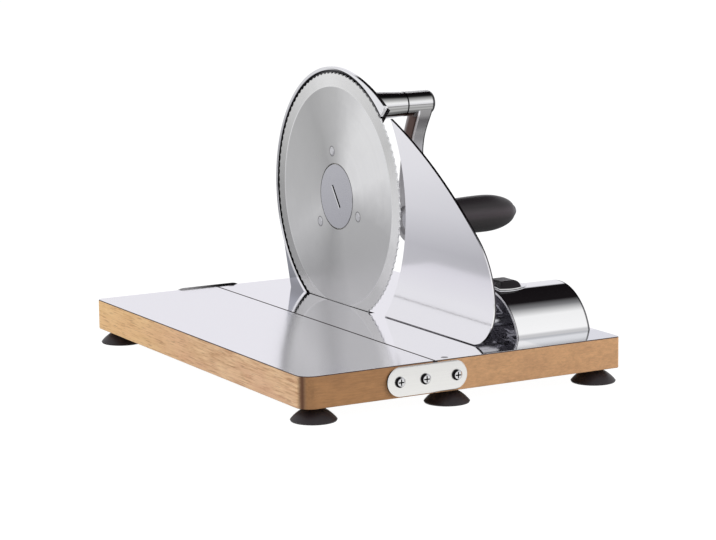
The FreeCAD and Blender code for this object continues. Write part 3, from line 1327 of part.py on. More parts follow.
def make_knob(neck):
    """The thumb knob on a thin saddle that rides over the shell."""
    under = dim("shell_r") + SADDLE_GAP
    band = cylinder("saddle_outer", shell_axis(KNOB_X - 1.5), under + SADDLE_T, SADDLE_LONG)
    hollow = cylinder("saddle_inner", shell_axis(KNOB_X - 3.0), under, SADDLE_LONG + 4.0)
    window = Piece("saddle_window", table_spot(KNOB_X - 1.5, dim("shell_y") + 0.0, 20.0))
    leaf = window.sketch("XY_Plane")
    belly = SADDLE_LONG * 0.4
    outline(leaf, [
        (point(0, -SADDLE_LEFT), point(belly, -SADDLE_MIDDLE), point(SADDLE_LONG, -SADDLE_RIGHT)),
        (point(SADDLE_LONG, -SADDLE_RIGHT), point(SADDLE_LONG + 0.8, 0), point(SADDLE_LONG, SADDLE_RIGHT)),
        (point(SADDLE_LONG, SADDLE_RIGHT), point(belly, SADDLE_MIDDLE), point(0, SADDLE_LEFT)),
        (point(0, SADDLE_LEFT), point(0, -SADDLE_LEFT)),
    ])
    window.pad(leaf, 20.0)
    saddle = cut("saddle_plain", common("saddle_band", band, window.body), hollow)
    node(cut("knob_saddle", saddle, neck), "knob_saddle")
    body = Piece("knob_body", table_spot(KNOB_X, dim("shell_y") + KNOB_WIDE / 2.0))
    side = body.sketch("XZ_Plane")
    outline(side, [
        (point(0, KNOB_LOW), point(0, KNOB_HIGH)),
        (point(0, KNOB_HIGH), point(10.5, KNOB_HIGH)),
        (point(10.5, KNOB_HIGH), point(15.6, 34.2), point(17.9, 29.4)),
        (point(17.9, 29.4), point(KNOB_LONG, 28.5)),
        (point(KNOB_LONG, 28.5), point(KNOB_LONG, KNOB_LOW)),
        (point(KNOB_LONG, KNOB_LOW), point(0, KNOB_LOW)),
    ])
    body.pad(side, KNOB_WIDE)
    body.fillet(KNOB_ROUND, is_knob_rim)
    ride = cylinder("knob_hollow", shell_axis(KNOB_X - 3.0), under + SADDLE_T, SADDLE_LONG + 6.0)
    node(cut("thumb_knob", body.body, fuse("knob_tools", [ride, neck])), "thumb_knob")


def shell_face(sketch, radius, floor=0.0):
    """A circle segment above the table, concentric with the shell."""
    middle = (float(dim("shell_y")), -float(dim("shell_drop")))
    half = math.sqrt(radius ** 2 - (middle[1] - floor) ** 2)
    left, right = point(middle[0] - half, floor), point(middle[0] + half, floor)
    outline(sketch, [(left, right), (right, point(middle[0], middle[1] + radius), left)])


def make_shell():
    """The half-round housing of the thickness slide, closed at the right, with its plates."""
    radius, wall = float(dim("shell_r")), float(dim("shell_t"))
    piece = Piece("shell_body", table_spot(dim("shell_x")))
    face = piece.sketch("YZ_Plane")
    shell_face(face, radius)
    piece.pad(face, dim("shell_len"))
    hollow = piece.sketch("YZ_Plane", -1.0)
    shell_face(hollow, radius - wall)
    piece.pocket(hollow, dim("shell_len") - dim("shell_t") + 1.0, reverse=True)
    far = float(dim("shell_len"))
    piece.fillet(0.8, lambda edge: edge.BoundBox.XMin > far - 0.01 and edge.BoundBox.ZLength > 5)
    slot = box("shell_slot", table_spot(BLOCK_X + 1.6, dim("shell_y") - dim("neck_wide") / 2.0 - 0.4, 18.0),
               (dim("travel") + 5.8, dim("neck_wide") + 0.8, 20.0))
    lugs = []
    pilots = [slot]
    for name, x, y in base_screw_spots()[4:6]:
        lugs.append(cylinder(f"{name}_lug", table_spot(x, y), 4.2, 10.0, ALONG_Z))
        web_long = dim("shell_x") + dim("shell_len") - 1.0 - x
        lugs.append(box(f"{name}_web", table_spot(x, y - 1.5), (web_long, 3.0, 10.0)))
        pilots.append(cylinder(f"{name}_pilot", table_spot(x, y, -1.0), BASE_SHANK_R, BASE_SCREW_REACH + 1.0,
                               ALONG_Z))
    solid = fuse("shell_solid", [piece.body] + lugs)
    node(cut("slide_shell", solid, fuse("shell_tools", pilots)), "slide_shell")
    make_bulkhead("shell_end_plate", dim("shell_x") + END_RECESS, END_PLATE_T, True)
    make_bulkhead("shell_bulkhead", BULKHEAD_X, 4.0, False)


def make_bulkhead(label, x, thick, with_lug):
    """A segment-shaped plate inside the shell that the guide rods slide through."""
    piece = Piece(f"{label}_body", table_spot(x))
    face = piece.sketch("YZ_Plane")
    shell_face(face, float(dim("shell_r")) - float(dim("shell_t")))
    piece.pad(face, thick)
    solids = [piece.body]
    tools = [cylinder(f"{label}_hole_{row}", spot, dim("rod_r") + dim("rod_play"), 20.0)
             for row, spot in rod_spots(x - 5.0)]
    if with_lug:
        name, screw_x, screw_y = base_screw_spots()[6]
        solids.append(box(f"{label}_lug", table_spot(x + thick * 0.5, screw_y - 6.0),
                          (9.0, 12.0, BASE_SCREW_REACH + 0.4)))
        tools.append(cylinder(f"{name}_pilot", table_spot(screw_x, screw_y, -1.0), BASE_SHANK_R,
                              BASE_SCREW_REACH + 1.0, ALONG_Z))
    solid = fuse(f"{label}_solid", solids) if with_lug else piece.body
    return node(cut(label, solid, fuse(f"{label}_tools", tools)), label)


def check_and_export():
    """Stop on any failed object, then write each piece to its own STEP file."""
    doc.recompute()
    failed = [item.Name for item in doc.Objects if {"Invalid", "Error"} & set(item.State)]
    if failed:
        raise RuntimeError("failed objects: " + ", ".join(failed))
    os.makedirs("parts", exist_ok=True)
    for thing in nodes:
        shape = thing.Shape
        if shape.isNull() or not shape.isValid():
            raise RuntimeError(f"{thing.Label} has no valid shape")
        shape.exportStep(f"parts/{thing.Label}.step")
        print(f"{thing.Label}: {len(shape.Solids)} solid(s), {shape.Volume / 1000.0:.2f} cm3")


def main():
    fill_sheet()
    make_left_board()
    make_right_board()
    make_sheets()
    make_base_screws()
    make_feet()
    make_hinge()
    make_blade()
    make_rivets()
    make_blade_gear()
    make_post()
    make_lock()
    finish_housing()
    make_crank_bushes()
    make_crank_shaft()
    make_crank_arm()
    make_grip()
    make_fence()
    make_knob(make_slide())
    make_shell()
    check_and_export()


main()
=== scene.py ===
"""Looks of a hand-cranked table slicer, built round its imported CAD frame."""

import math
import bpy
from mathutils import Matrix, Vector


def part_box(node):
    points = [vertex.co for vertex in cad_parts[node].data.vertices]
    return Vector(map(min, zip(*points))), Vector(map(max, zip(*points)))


bl_info = {
    "name": "Hand crank slicer looks",
    "version": (1, 0, 0),
    "blender": (4, 5, 0),
    "location": "View3D > Sidebar > Slicer",
    "description": "Finishes and a plain studio for a hand-cranked table slicer",
    "category": "Object",
}

import bpy
from bpy.props import FloatProperty, FloatVectorProperty, PointerProperty
from mathutils import Matrix, Vector

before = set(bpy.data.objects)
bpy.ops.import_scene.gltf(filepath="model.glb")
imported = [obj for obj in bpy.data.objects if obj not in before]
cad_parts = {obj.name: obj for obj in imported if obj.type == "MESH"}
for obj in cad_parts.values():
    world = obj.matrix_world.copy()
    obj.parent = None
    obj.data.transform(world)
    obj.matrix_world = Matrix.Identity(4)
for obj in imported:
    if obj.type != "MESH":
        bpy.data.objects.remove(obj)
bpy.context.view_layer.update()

MM = 0.001
TURN = 2.0 * math.pi
EVEN = (1.0, 1.0, 1.0)

# Boards and covers
SEAM_X = -53.8 * MM
# Where the wood in the gap between the boards is painted dark as shade
SEAM_SHADE_X = (SEAM_X - 1.2 * MM, SEAM_X + 2.6 * MM)
SEAM_SHADE_DEPTH = 5.0 * MM
TOP_Z = 33.7 * MM
SLOT_X = (-6.2 * MM, -2.6 * MM)
SLOT_Y = (2.1 * MM, 104.6 * MM)
SLOT_PLAY = 0.2 * MM
# How deep the wood in the blade's slot is painted dark as shade
SLOT_SHADE_DEPTH = 17.0 * MM
END_Y = 170.55 * MM
CORNER_R = 11.0 * MM
CUT_DEPTH = 0.12 * MM
# Reach of the strip of steel beside the join of the boards that is painted dark as shade
SEAM_SHADE_STRIP = (0.75 * MM, 0.95 * MM)
# Where the front right of the steel is painted darker as shade
SHADED_PATCH_X = (33.0 * MM, 38.0 * MM)
SHADED_PATCH_Y = (-142.0 * MM, -139.0 * MM)

# Hinge plates and their screws
HINGE_Z = 22.1 * MM
HEAD_Y = 174.6 * MM
SCREW_X = (-82.6 * MM, -62.2 * MM, -36.9 * MM)
CROSS_REACH = 2.2 * MM
CROSS_HALF_WIDTH = 0.5 * MM

# Blade and lock
BEVEL_R = 84.5 * MM
TOOTH_R = 93.0 * MM
RIVET_CIRCLE = 35.0 * MM
RIVET_ANGLES = (79.6, 199.6, 319.6)
COIN_TURN = math.radians(54.6)
COIN_REACH = 10.2 * MM
COIN_HALF_WIDTH = 1.1 * MM
COIN_DEPTH = 1.3 * MM

# Guard, its boss and the crank
RIM_INSIDE = 97.3 * MM
RIM_OUTSIDE = 99.9 * MM
RECESS_DEPTH = 2.9 * MM
LIP_DEPTH = 0.6 * MM
BACK_DEPTHS = (5.2 * MM, 5.5 * MM, 13.3 * MM, 13.6 * MM)
BOSS_DEPTHS = (15.0 * MM, 16.0 * MM)
BOSS_REACH = 14.0 * MM
TIP_TURN = 0.6225
TIP_EDGE_X = -3.4 * MM
HUB_Z = 184.2 * MM

# Tones of 0 to 255: painted sheen round the blade by the share of a turn, then painted reflection
# bands up a round bar from 0 to 1
FACE_LUSTRE = ((0.0, 200), (0.17, 173), (0.25, 198), (0.34, 246), (0.45, 255), (0.54, 203),
               (0.70, 202), (0.79, 180), (0.92, 224))
EDGE_LUSTRE = ((0.0, 168), (0.12, 208), (0.23, 237), (0.41, 208), (0.53, 252), (0.64, 203),
               (0.85, 198), (0.94, 170))
REFLECTION_BAND_TONES = ((0.10, 255), (0.16, 140), (0.25, 120), (0.32, 186), (0.38, 160), (0.48, 255),
              (0.59, 255), (0.69, 185), (0.82, 45), (0.87, 60), (0.96, 255))


def linear(red, green, blue):
    """A display colour of 0 to 255 as the linear colour that shaders take."""
    values = []
    for value in (red, green, blue):
        share = value / 255.0
        values.append(share / 12.92 if share <= 0.04045 else ((share + 0.055) / 1.055) ** 2.4)
    return tuple(values)


class Field:
    """A shader socket that takes part in Python arithmetic, one Math node for each operator."""

    def __init__(self, finish, socket):
        self.finish = finish
        self.socket = socket

    def math(self, operation, *others):
        """The result of a Math node on this value and others."""
        inputs = dict(enumerate((self,) + others))
        return self.finish.add("ShaderNodeMath", {"operation": operation}, inputs).out(0)

    def swapped(self, operation, other):
        """The result of a Math node on another value and this one."""
        inputs = {0: other, 1: self}
        return self.finish.add("ShaderNodeMath", {"operation": operation}, inputs).out(0)

    def __add__(self, other):
        return self.math("ADD", other)

    __radd__ = __add__

    def __sub__(self, other):
        return self.math("SUBTRACT", other)

    def __rsub__(self, other):
        return self.swapped("SUBTRACT", other)

    def __mul__(self, other):
        return self.math("MULTIPLY", other)

    __rmul__ = __mul__

    def __truediv__(self, other):
        return self.math("DIVIDE", other)

    def __pow__(self, other):
        return self.math("POWER", other)

    def __gt__(self, other):
        return self.math("GREATER_THAN", other)

    def __lt__(self, other):
        return self.math("LESS_THAN", other)

    def fade(self, low, high):
        """0 below low, 1 above high and smooth between."""
        settings = {"interpolation_type": "SMOOTHSTEP", "clamp": True}
        inputs = {0: self, 1: low, 2: high, 3: 0.0, 4: 1.0}
        return self.finish.add("ShaderNodeMapRange", settings, inputs).out(0)

    def between(self, start, full, end, gone):
        """0 up to start, 1 from full to end, 0 again from gone and smooth between."""
        return self.fade(start, full) * (1.0 - self.fade(end, gone))


class Knot:
    """One shader node with its outputs as fields."""

    def __init__(self, finish, node):
        self.finish = finish
        self.node = node

    def out(self, key):
        return Field(self.finish, self.node.outputs[key])


class Tree:
    """Short calls that build a node tree."""

    def __init__(self, tree):
        self.tree = tree
        tree.nodes.clear()

    def add(self, kind, settings=None, inputs=None):
        """A node of a kind, its settings made first, then its sockets set or linked."""
        node = self.tree.nodes.new(kind)
        for key, value in (settings or {}).items():
            if key == "stops":
                self.set_stops(node.color_ramp, value)
            else:
                setattr(node, key, value)
        for key, value in (inputs or {}).items():
            self.feed(node.inputs[key], value)
        return Knot(self, node)

    def set_stops(self, ramp, stops):
        while len(ramp.elements) < len(stops):
            ramp.elements.new(0.5)
        for element, (place, colour) in zip(ramp.elements, stops):
            element.position = place
            element.color = tuple(colour) + (1.0,)

    def feed(self, socket, value):
        if isinstance(value, Field):
            self.tree.links.new(value.socket, socket)
        elif socket.type == "RGBA" and len(value) == 3:
            socket.default_value = tuple(value) + (1.0,)
        else:
            socket.default_value = value

    def blend(self, factor, first, second):
        """A colour between two colours."""
        settings = {"data_type": "RGBA", "blend_type": "MIX"}
        return self.add("ShaderNodeMix", settings, {0: factor, 6: first, 7: second}).out(2)

    def ramp(self, factor, stops):
        return self.add("ShaderNodeValToRGB", {"stops": stops}, {0: factor}).out(0)

    def split(self, vector):
        """The three parts of a vector."""
        knot = self.add("ShaderNodeSeparateXYZ", {}, {0: vector})
        return knot.out(0), knot.out(1), knot.out(2)

    def glow(self, colour, strength=1.0):
        """Light given off."""
        inputs = {"Color": colour, "Strength": strength}
        return self.add("ShaderNodeEmission", {}, inputs).out(0)

    def mix(self, share, first, second):
        """A shader between two shaders."""
        return self.add("ShaderNodeMixShader", {}, {0: share, 1: first, 2: second}).out(0)


class Finish(Tree):
    """One procedural material with its object-space position at hand."""

    def __init__(self, name, **surface):
        self.material = bpy.data.materials.new(name)
        self.material.use_nodes = True
        super().__init__(self.material.node_tree)
        self.end = self.add("ShaderNodeOutputMaterial").node
        self.surface = self.add("ShaderNodeBsdfPrincipled").node
        self.tree.links.new(self.surface.outputs[0], self.end.inputs[0])
        self.place = self.add("ShaderNodeTexCoord").out("Object")
        self.set(**surface)

    def set(self, **surface):
        """Set or link sockets of the surface by their names, with underscores for blanks."""
        for name, value in surface.items():
            socket = name.replace("_", " ").title().replace("Ior", "IOR")
            self.feed(self.surface.inputs[socket], value)

    def colour(self):
        """The colour that the surface has so far."""
        return Field(self, self.surface.inputs["Base Color"].links[0].from_socket)

    def facing(self):
        """The parts of the unit vector that points out of the surface."""
        return self.split(self.add("ShaderNodeTexCoord").out("Normal"))

    def noise(self, scale, detail=2.0, rough=0.5, stretch=EVEN, turn=(0.0, 0.0, 0.0)):
        """Noise of 0 to 1; scale counts features in a metre along each axis."""
        inputs = {"Vector": self.place, "Rotation": turn, "Scale": stretch}
        mapped = self.add("ShaderNodeMapping", {}, inputs).out(0)
        return self.noise_at(mapped, scale, detail, rough)

    def noise_at(self, place, scale, detail=2.0, rough=0.5):
        """Noise of 0 to 1 at a place made by the caller."""
        inputs = {"Vector": place, "Scale": scale, "Detail": detail, "Roughness": rough}
        return self.add("ShaderNodeTexNoise", {}, inputs).out("Fac")

    def join(self, x, y=0.0, z=0.0):
        """A vector of three parts."""
        return self.add("ShaderNodeCombineXYZ", {}, {0: x, 1: y, 2: z}).out(0)

    def relief(self, height, depth, strength=1.0):
        """Bump of a height field of 0 to 1, depth in millimetres."""
        inputs = {"Height": height, "Distance": depth * MM, "Strength": strength}
        self.set(normal=self.add("ShaderNodeBump", {}, inputs).out(0))


def reach(across, rise):
    """Distance from an axis."""
    return (across * across + rise * rise) ** 0.5


def darker(tint, share):
    """A tint with each part times a share."""
    return tuple(value * share for value in tint)


def dress(finish, *names):
    """Give CAD nodes a finish."""
    for name in names:
        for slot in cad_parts[name].material_slots:
            slot.material = finish.material


# ---------------------------------------------------------------- settings of the looks


class StudioLook(bpy.types.PropertyGroup):
    """The plain studio."""

    lens: FloatProperty(name="Lens", description="Focal length of the camera, in millimetres",
                        default=130.9, min=10.0)
    key_power: FloatProperty(name="Key light", description="Power of the lamp at the left",
                             default=19.0, subtype="POWER")
    front_power: FloatProperty(name="Front light", default=4.2, subtype="POWER",
                               description="Power of the lamp at the front right")
    fill: FloatProperty(name="Fill", description="Even light from all round",
                        default=0.42, min=0.0)
    background: FloatVectorProperty(name="Background", description="Colour of floor and backdrop",
                                    default=(1.0, 1.0, 1.0), subtype="COLOR")


class BoardLook(bpy.types.PropertyGroup):
    """The wooden boards."""

    light_wood: FloatVectorProperty(name="Pale wood", description="Pale streaks of the wood",
                                    default=linear(246, 208, 164), subtype="COLOR")
    dark_wood: FloatVectorProperty(name="Dark wood", description="Dark streaks of the wood",
                                   default=linear(206, 158, 116), subtype="COLOR")


class MetalLook(bpy.types.PropertyGroup):
    """Steel, chrome and castings."""

    cover: FloatVectorProperty(name="Steel cover", description="Tint of the table's steel",
                               default=linear(245, 244, 247), subtype="COLOR")
    cover_gloss: FloatProperty(name="Cover roughness", default=0.075, min=0.0, max=1.0,
                               description="Roughness of the table's steel")
    blade_shade: FloatVectorProperty(name="Blade shade", description="Dull clouds on the blade",
                                     default=linear(196, 196, 198), subtype="COLOR")
    groove: FloatProperty(name="Blade grooves", description="Pitch of the turning marks",
                          default=0.33 * MM, subtype="DISTANCE", unit="LENGTH")
    chrome: FloatVectorProperty(name="Chrome", description="Tint of polished parts",
                                default=linear(242, 242, 244), subtype="COLOR")


class BlackLook(bpy.types.PropertyGroup):
    """Rubber and plastic."""

    plastic: FloatVectorProperty(name="Plastic", description="Colour of grip and knob",
                                 default=linear(33, 28, 31), subtype="COLOR")
    rubber: FloatVectorProperty(name="Rubber", description="Colour of the feet",
                                default=linear(36, 29, 32), subtype="COLOR")


def looks():
    """The stored sizes and colours of this scene."""
    scene = bpy.context.scene
    return scene.slicer_studio, scene.slicer_boards, scene.slicer_metal, scene.slicer_black


# ---------------------------------------------------------------- finishes


def wood_finish(name, seed, end_tint, end_stretch):
    """Solid wood: soft wavy streaks, short dark pores, warm or pale patches and end grain, with
    painted shade round the rounded front corner and in the gap between the boards and the blade's
    slot.
    """
    board = looks()[1]
    finish = Finish(name, ior=1.45)
    x, y = finish.split(finish.place)[:2]
    flat_end = y.math("ABSOLUTE").fade(END_Y - 0.5 * MM, END_Y - 0.2 * MM)
    turn = corner_turn(x, y)
    at_end = flat_end.math("MAXIMUM", turn.fade(0.55, 0.95))
    tilt = (0.0, 0.03 * seed, 0.02 * seed)
    side = finish.noise(760.0, 4.0, 0.7, (1.0, 0.055, 1.0), tilt)
    end = finish.noise(900.0, 4.0, 0.75, (end_stretch, 1.0, 1.0), tilt)
    wave = finish.noise(190.0, 3.0, 0.6, (0.5, 0.22, 1.0), tilt)
    dash = finish.noise(1300.0, 2.0, 0.6, (1.0, 0.045, 1.0), tilt).fade(0.55, 0.68)
    dash = dash * (1.0 - at_end)
    patch = finish.noise(24.0, 3.0, 0.6, (1.0, 0.5, 1.6))
    streak = side + (end - side) * at_end
    share = (streak - 0.5) * (2.4 - at_end * 1.5) + (wave - 0.5) * (1.5 - at_end) + 0.42
    grain = finish.blend(share, tuple(board.light_wood), tuple(board.dark_wood))
    warm = finish.blend(patch.fade(0.42, 0.72) * 0.5, grain, linear(230, 178, 146))
    rear = finish.blend(y.fade(-0.06, 0.17) * 0.55, warm, linear(255, 210, 140))
    dark_streak = side.fade(0.56, 0.70) * (1.0 - at_end) * 0.45
    streaked = finish.blend(dark_streak, rear, linear(168, 114, 78))
    marked = finish.blend(dash * 0.42, streaked, linear(140, 92, 60))
    end_share = (end - 0.5) * 2.0 + (patch - 0.5) * 1.4 + (wave - 0.5) * 0.8 + 0.45
    end_wood = finish.blend(end_share, end_tint, darker(end_tint, 0.62))
    ends = finish.blend(at_end * 0.85, marked, end_wood)
    # A band round the rounded front corner is painted dark brown as shade.
    band = turn.between(0.12, 0.60, 0.62, 0.98)
    corner_shaded = finish.blend(band * 0.94, ends, linear(88, 47, 20))
    # The wood in the gap between the boards and in the blade's slot is painted dark as shade.
    finish.set(base_color=finish.blend(gap_shade(finish), corner_shaded, linear(24, 17, 13)))
    finish.set(roughness=0.40 + streak * 0.16)
    finish.relief(streak * 0.6 + (1.0 - dash) * 0.4, 0.12, 0.35)
    return finish


def corner_turn(x, y):
    """Angle round the rounded front corner of the folding board, 0 outside it."""
    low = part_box("left_board")[0]
    across, along = (x - low.x - CORNER_R) * -1.0, (y - low.y - CORNER_R) * -1.0
    return along.math("ARCTAN2", across) * (across > 0.0) * (along > 0.0)


def gap_shade(finish):
    """1 in the gap between the boards and in the blade's slot, where the wood is painted dark as
    shade.
    """
    x, y, z = finish.split(finish.place)
    seam_shade = (x > SEAM_SHADE_X[0]) * (x < SEAM_SHADE_X[1]) * (z > TOP_Z - SEAM_SHADE_DEPTH)
    slot = (x > SLOT_X[0] - SLOT_PLAY) * (x < SLOT_X[1] + SLOT_PLAY) * (y > SLOT_Y[0] - SLOT_PLAY)
    slot = slot * (y < SLOT_Y[1] + SLOT_PLAY) * (z > TOP_Z - SLOT_SHADE_DEPTH)
    return seam_shade.math("MAXIMUM", slot)


def cover_finish(name, haze):
    """Bright steel sheet, almost a mirror, with a faint cloud and hair-fine rubbing marks; its cut
    edges, a strip beside the join of the boards and a patch at its front right are painted darker
    as shade.
    """
    metal = looks()[2]
    finish = Finish(name, metallic=1.0)
    cloud = finish.noise(9.0, 3.0, 0.55)
    hair = finish.noise(900.0, 1.0, 0.5, (1.0, 0.012, 1.0))
    x, y, z = finish.split(finish.place)
    # The sheet's cut edges and a strip of its top beside the join are painted dark as shade.
    lip = 1.0 - (x - SEAM_X).math("ABSOLUTE").fade(*SEAM_SHADE_STRIP)
    edge_and_seam_shade = (z < TOP_Z - CUT_DEPTH).math("MAXIMUM", lip)
    face = finish.blend(cloud * 0.5, tuple(metal.cover), linear(240, 239, 244))
    # The front right of the sheet is painted darker as shade.
    shaded_patch = x.fade(*SHADED_PATCH_X) * (1.0 - y.fade(*SHADED_PATCH_Y))
    face = finish.blend(shaded_patch, face, linear(220, 222, 228))
    finish.set(base_color=finish.blend(edge_and_seam_shade, face, linear(96, 84, 84)))
    rubbed = (cloud - 0.5) * 0.03 + (hair - 0.5) * 0.02
    finish.set(roughness=metal.cover_gloss + haze + rubbed + edge_and_seam_shade * 0.4)
    finish.relief(finish.noise(14.0, 2.0, 0.5), 0.05, 0.10)
    return finish


def mirror_finish():
    """Mirror-polished plate: its tint changes with height as a painted reflection, and its foot
    and far side walls are painted dark as shade.
    """
    metal = looks()[2]
    finish = Finish("mirror_plate_steel", metallic=1.0)
    cloud = finish.noise(11.0, 3.0, 0.5)
    x, _, z = finish.split(finish.place)
    # The foot is painted dark as shade.
    foot = 1.0 - (z - TOP_Z).fade(0.6 * MM, 0.9 * MM)
    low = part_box("thickness_plate")[0]
    # The side walls behind the front millimetre are painted dark as shade.
    edge = (finish.facing()[0].math("ABSOLUTE") < 0.6) * (x > low.x + 1.0 * MM)
    dark = foot.math("MAXIMUM", edge)
    # Painted reflection: the tint changes with height.
    tint = finish.ramp((z - TOP_Z) / (200.0 * MM), (
        (0.13, linear(255, 255, 255)),
        (0.22, tuple(metal.cover)),
        (0.31, linear(230, 229, 233)),
        (0.45, tuple(metal.cover)),
    ))
    face = finish.blend(cloud * 0.1, tint, linear(214, 213, 218))
    finish.set(base_color=finish.blend(dark, face, linear(84, 80, 84)))
    finish.set(roughness=0.075 + cloud * 0.025 + foot * 0.3)
    finish.relief(finish.noise(22.0, 2.0, 0.5), 0.05, 0.08)
    return finish


def painted_sheen(finish, turn, lobes):
    """A painted sheen: a grey that changes round the blade, given at a few shares of a turn."""
    stops = [(place, linear(level, level, level - 2)) for place, level in lobes]
    return finish.ramp(turn, stops + [(1.0, stops[0][1])])


def blade_finish():
    """Ground blade: painted sheen lobes over its turning marks, a ground bevel with a painted
    highlight line at its border, painted shade rings round the rivets and matt teeth.
    """
    metal = looks()[2]
    low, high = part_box("blade")
    centre = (low + high) / 2.0
    finish = Finish("ground_blade_steel", metallic=1.0)
    _, y, z = finish.split(finish.place)
    across, rise = y - centre.y, z - centre.z
    radius = reach(across, rise)
    outward = finish.join(radius)
    marks = finish.noise_at(outward, 1.0 / metal.groove, 3.0, 0.65)
    rings = finish.noise_at(outward, 260.0)
    cloud = finish.noise(30.0, 4.0, 0.6)
    sweep = finish.noise(70.0, 3.0, 0.6) - 0.5
    turn = (rise.math("ARCTAN2", across) / TURN + 1.0 + sweep * 0.04).math("FRACT")
    bevel = radius > BEVEL_R
    clouded = cloud * 0.18 + rings * 0.18
    # Painted sheen round the face and round the bevel.
    plain = finish.blend(clouded, painted_sheen(finish, turn, FACE_LUSTRE), tuple(metal.blade_shade))
    ring = finish.blend(bevel, plain, painted_sheen(finish, turn, EDGE_LUSTRE))
    # A painted highlight line along the border of the bevel, brightest at the sides.
    line = (radius - BEVEL_R).between(-0.5 * MM, 0.0, 0.4 * MM, 1.0 * MM)
    sideways = (across / radius).fade(0.45, 0.9)
    bevel_highlit = finish.blend(line * (0.14 + sideways * 0.5), ring, (1.0, 1.0, 1.0))
    teeth = (radius > TOOTH_R) * (finish.facing()[0] > -0.8)
    bevel_highlit = finish.blend(teeth, bevel_highlit, linear(232, 232, 234))
    finish.set(metallic=1.0 - teeth * 0.9)
    # Rings round the rivets are painted dark as shade.
    finish.set(base_color=finish.blend(rivet_shade_rings(y, z, centre), bevel_highlit, linear(66, 66, 68)))
    rough = 0.30 + (cloud - 0.5) * 0.10 + (rings - 0.5) * 0.06
    finish.set(roughness=rough * (1.0 - bevel * 0.2))
    finish.relief(marks + rings * 0.3, 0.05, 1.0)
    return finish


def lock_finish():
    """Satin cap whose coin slot is painted dark inside as shade, with a painted highlight along
    one side of it.
    """
    finish = satin_finish("lock_steel", linear(196, 196, 201), 0.25, (1.0, 0.04, 1.0), 0.005)
    low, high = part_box("blade_lock")
    x, y, z = finish.split(finish.place)
    along, side = math.cos(COIN_TURN), math.sin(COIN_TURN)
    across, rise = y - (low.y + high.y) / 2.0, z - (low.z + high.z) / 2.0
    away = rise * along - across * side
    length = (across * along + rise * side).math("ABSOLUTE")
    depth = x - low.x
    # Inside the coin slot is painted dark as shade.
    inside = (away.math("ABSOLUTE") < COIN_HALF_WIDTH) * (length < COIN_REACH)
    inside = inside * (depth > 0.15 * MM) * (depth < COIN_DEPTH)
    # A painted highlight along one side of the slot.
    painted_highlight = (away > -1.9 * MM) * (away < -0.9 * MM) * (length < 9.8 * MM) * (depth < 0.1 * MM)
    slotted = finish.blend(inside, finish.colour(), linear(22, 20, 22))
    finish.set(base_color=finish.blend(painted_highlight, slotted, linear(255, 255, 255)))
    return finish


def rivet_shade_rings(y, z, centre):
    """1 in a thin ring of painted shade round each of the three rivets."""
    total = None
    for angle in RIVET_ANGLES:
        turn = math.radians(angle)
        across = y - (centre.y + RIVET_CIRCLE * math.cos(turn))
        rise = z - (centre.z + RIVET_CIRCLE * math.sin(turn))
        ring = reach(across, rise).between(3.3 * MM, 3.5 * MM, 3.8 * MM, 4.4 * MM) * 0.7
        total = ring if total is None else total + ring
    return total


def satin_finish(name, tint, roughness, stretch=EVEN, depth=0.01):
    """Brushed metal; a stretch below 1 draws its marks out along that axis."""
    finish = Finish(name, metallic=1.0)
    hair = finish.noise(1400.0, 2.0, 0.6, stretch)
    cloud = finish.noise(40.0, 3.0, 0.5)
    finish.set(base_color=finish.blend(hair * 0.5 + cloud * 0.2, tint, darker(tint, 0.86)))
    finish.set(roughness=roughness + (hair - 0.5) * 0.12 + (cloud - 0.5) * 0.06)
    finish.relief(hair, depth, 0.6)
    return finish


def front_plate_finish():
    """Satin plate with a dark wall round its left end."""
    tint = linear(252, 251, 249)
    finish = satin_finish("front_plate_steel", tint, 0.30, (0.03, 1.0, 1.0), 0.004)
    facing = finish.facing()
    wall = facing[1].fade(-0.5, -0.2) * (1.0 - facing[0].fade(-0.75, -0.35))
    finish.set(base_color=finish.blend(wall, finish.colour(), linear(44, 33, 30)))
    return finish


def dark_edge_finish():
    """Satin plate whose upper edge is painted dark as shadow, more so towards +X."""
    finish = Finish("rear_plate_steel", metallic=1.0)
    x, _, z = finish.split(finish.place)
    hair = finish.noise(1400.0, 2.0, 0.6, (0.03, 1.0, 1.0))
    # The upper edge is painted dark as shadow, from about a third to full towards +X.
    edge = z.fade(TOP_Z - 0.8 * MM, TOP_Z - 0.3 * MM)
    edge = edge * (0.35 + x.fade(-86.0 * MM, -46.0 * MM) * 0.65)
    face = finish.blend(hair * 0.5, linear(250, 249, 248), linear(220, 219, 218))
    finish.set(base_color=finish.blend(edge, face, linear(26, 24, 26)))
    finish.set(roughness=0.30 + (hair - 0.5) * 0.12 + edge * 0.2)
    finish.relief(hair, 0.004, 0.6)
    return finish


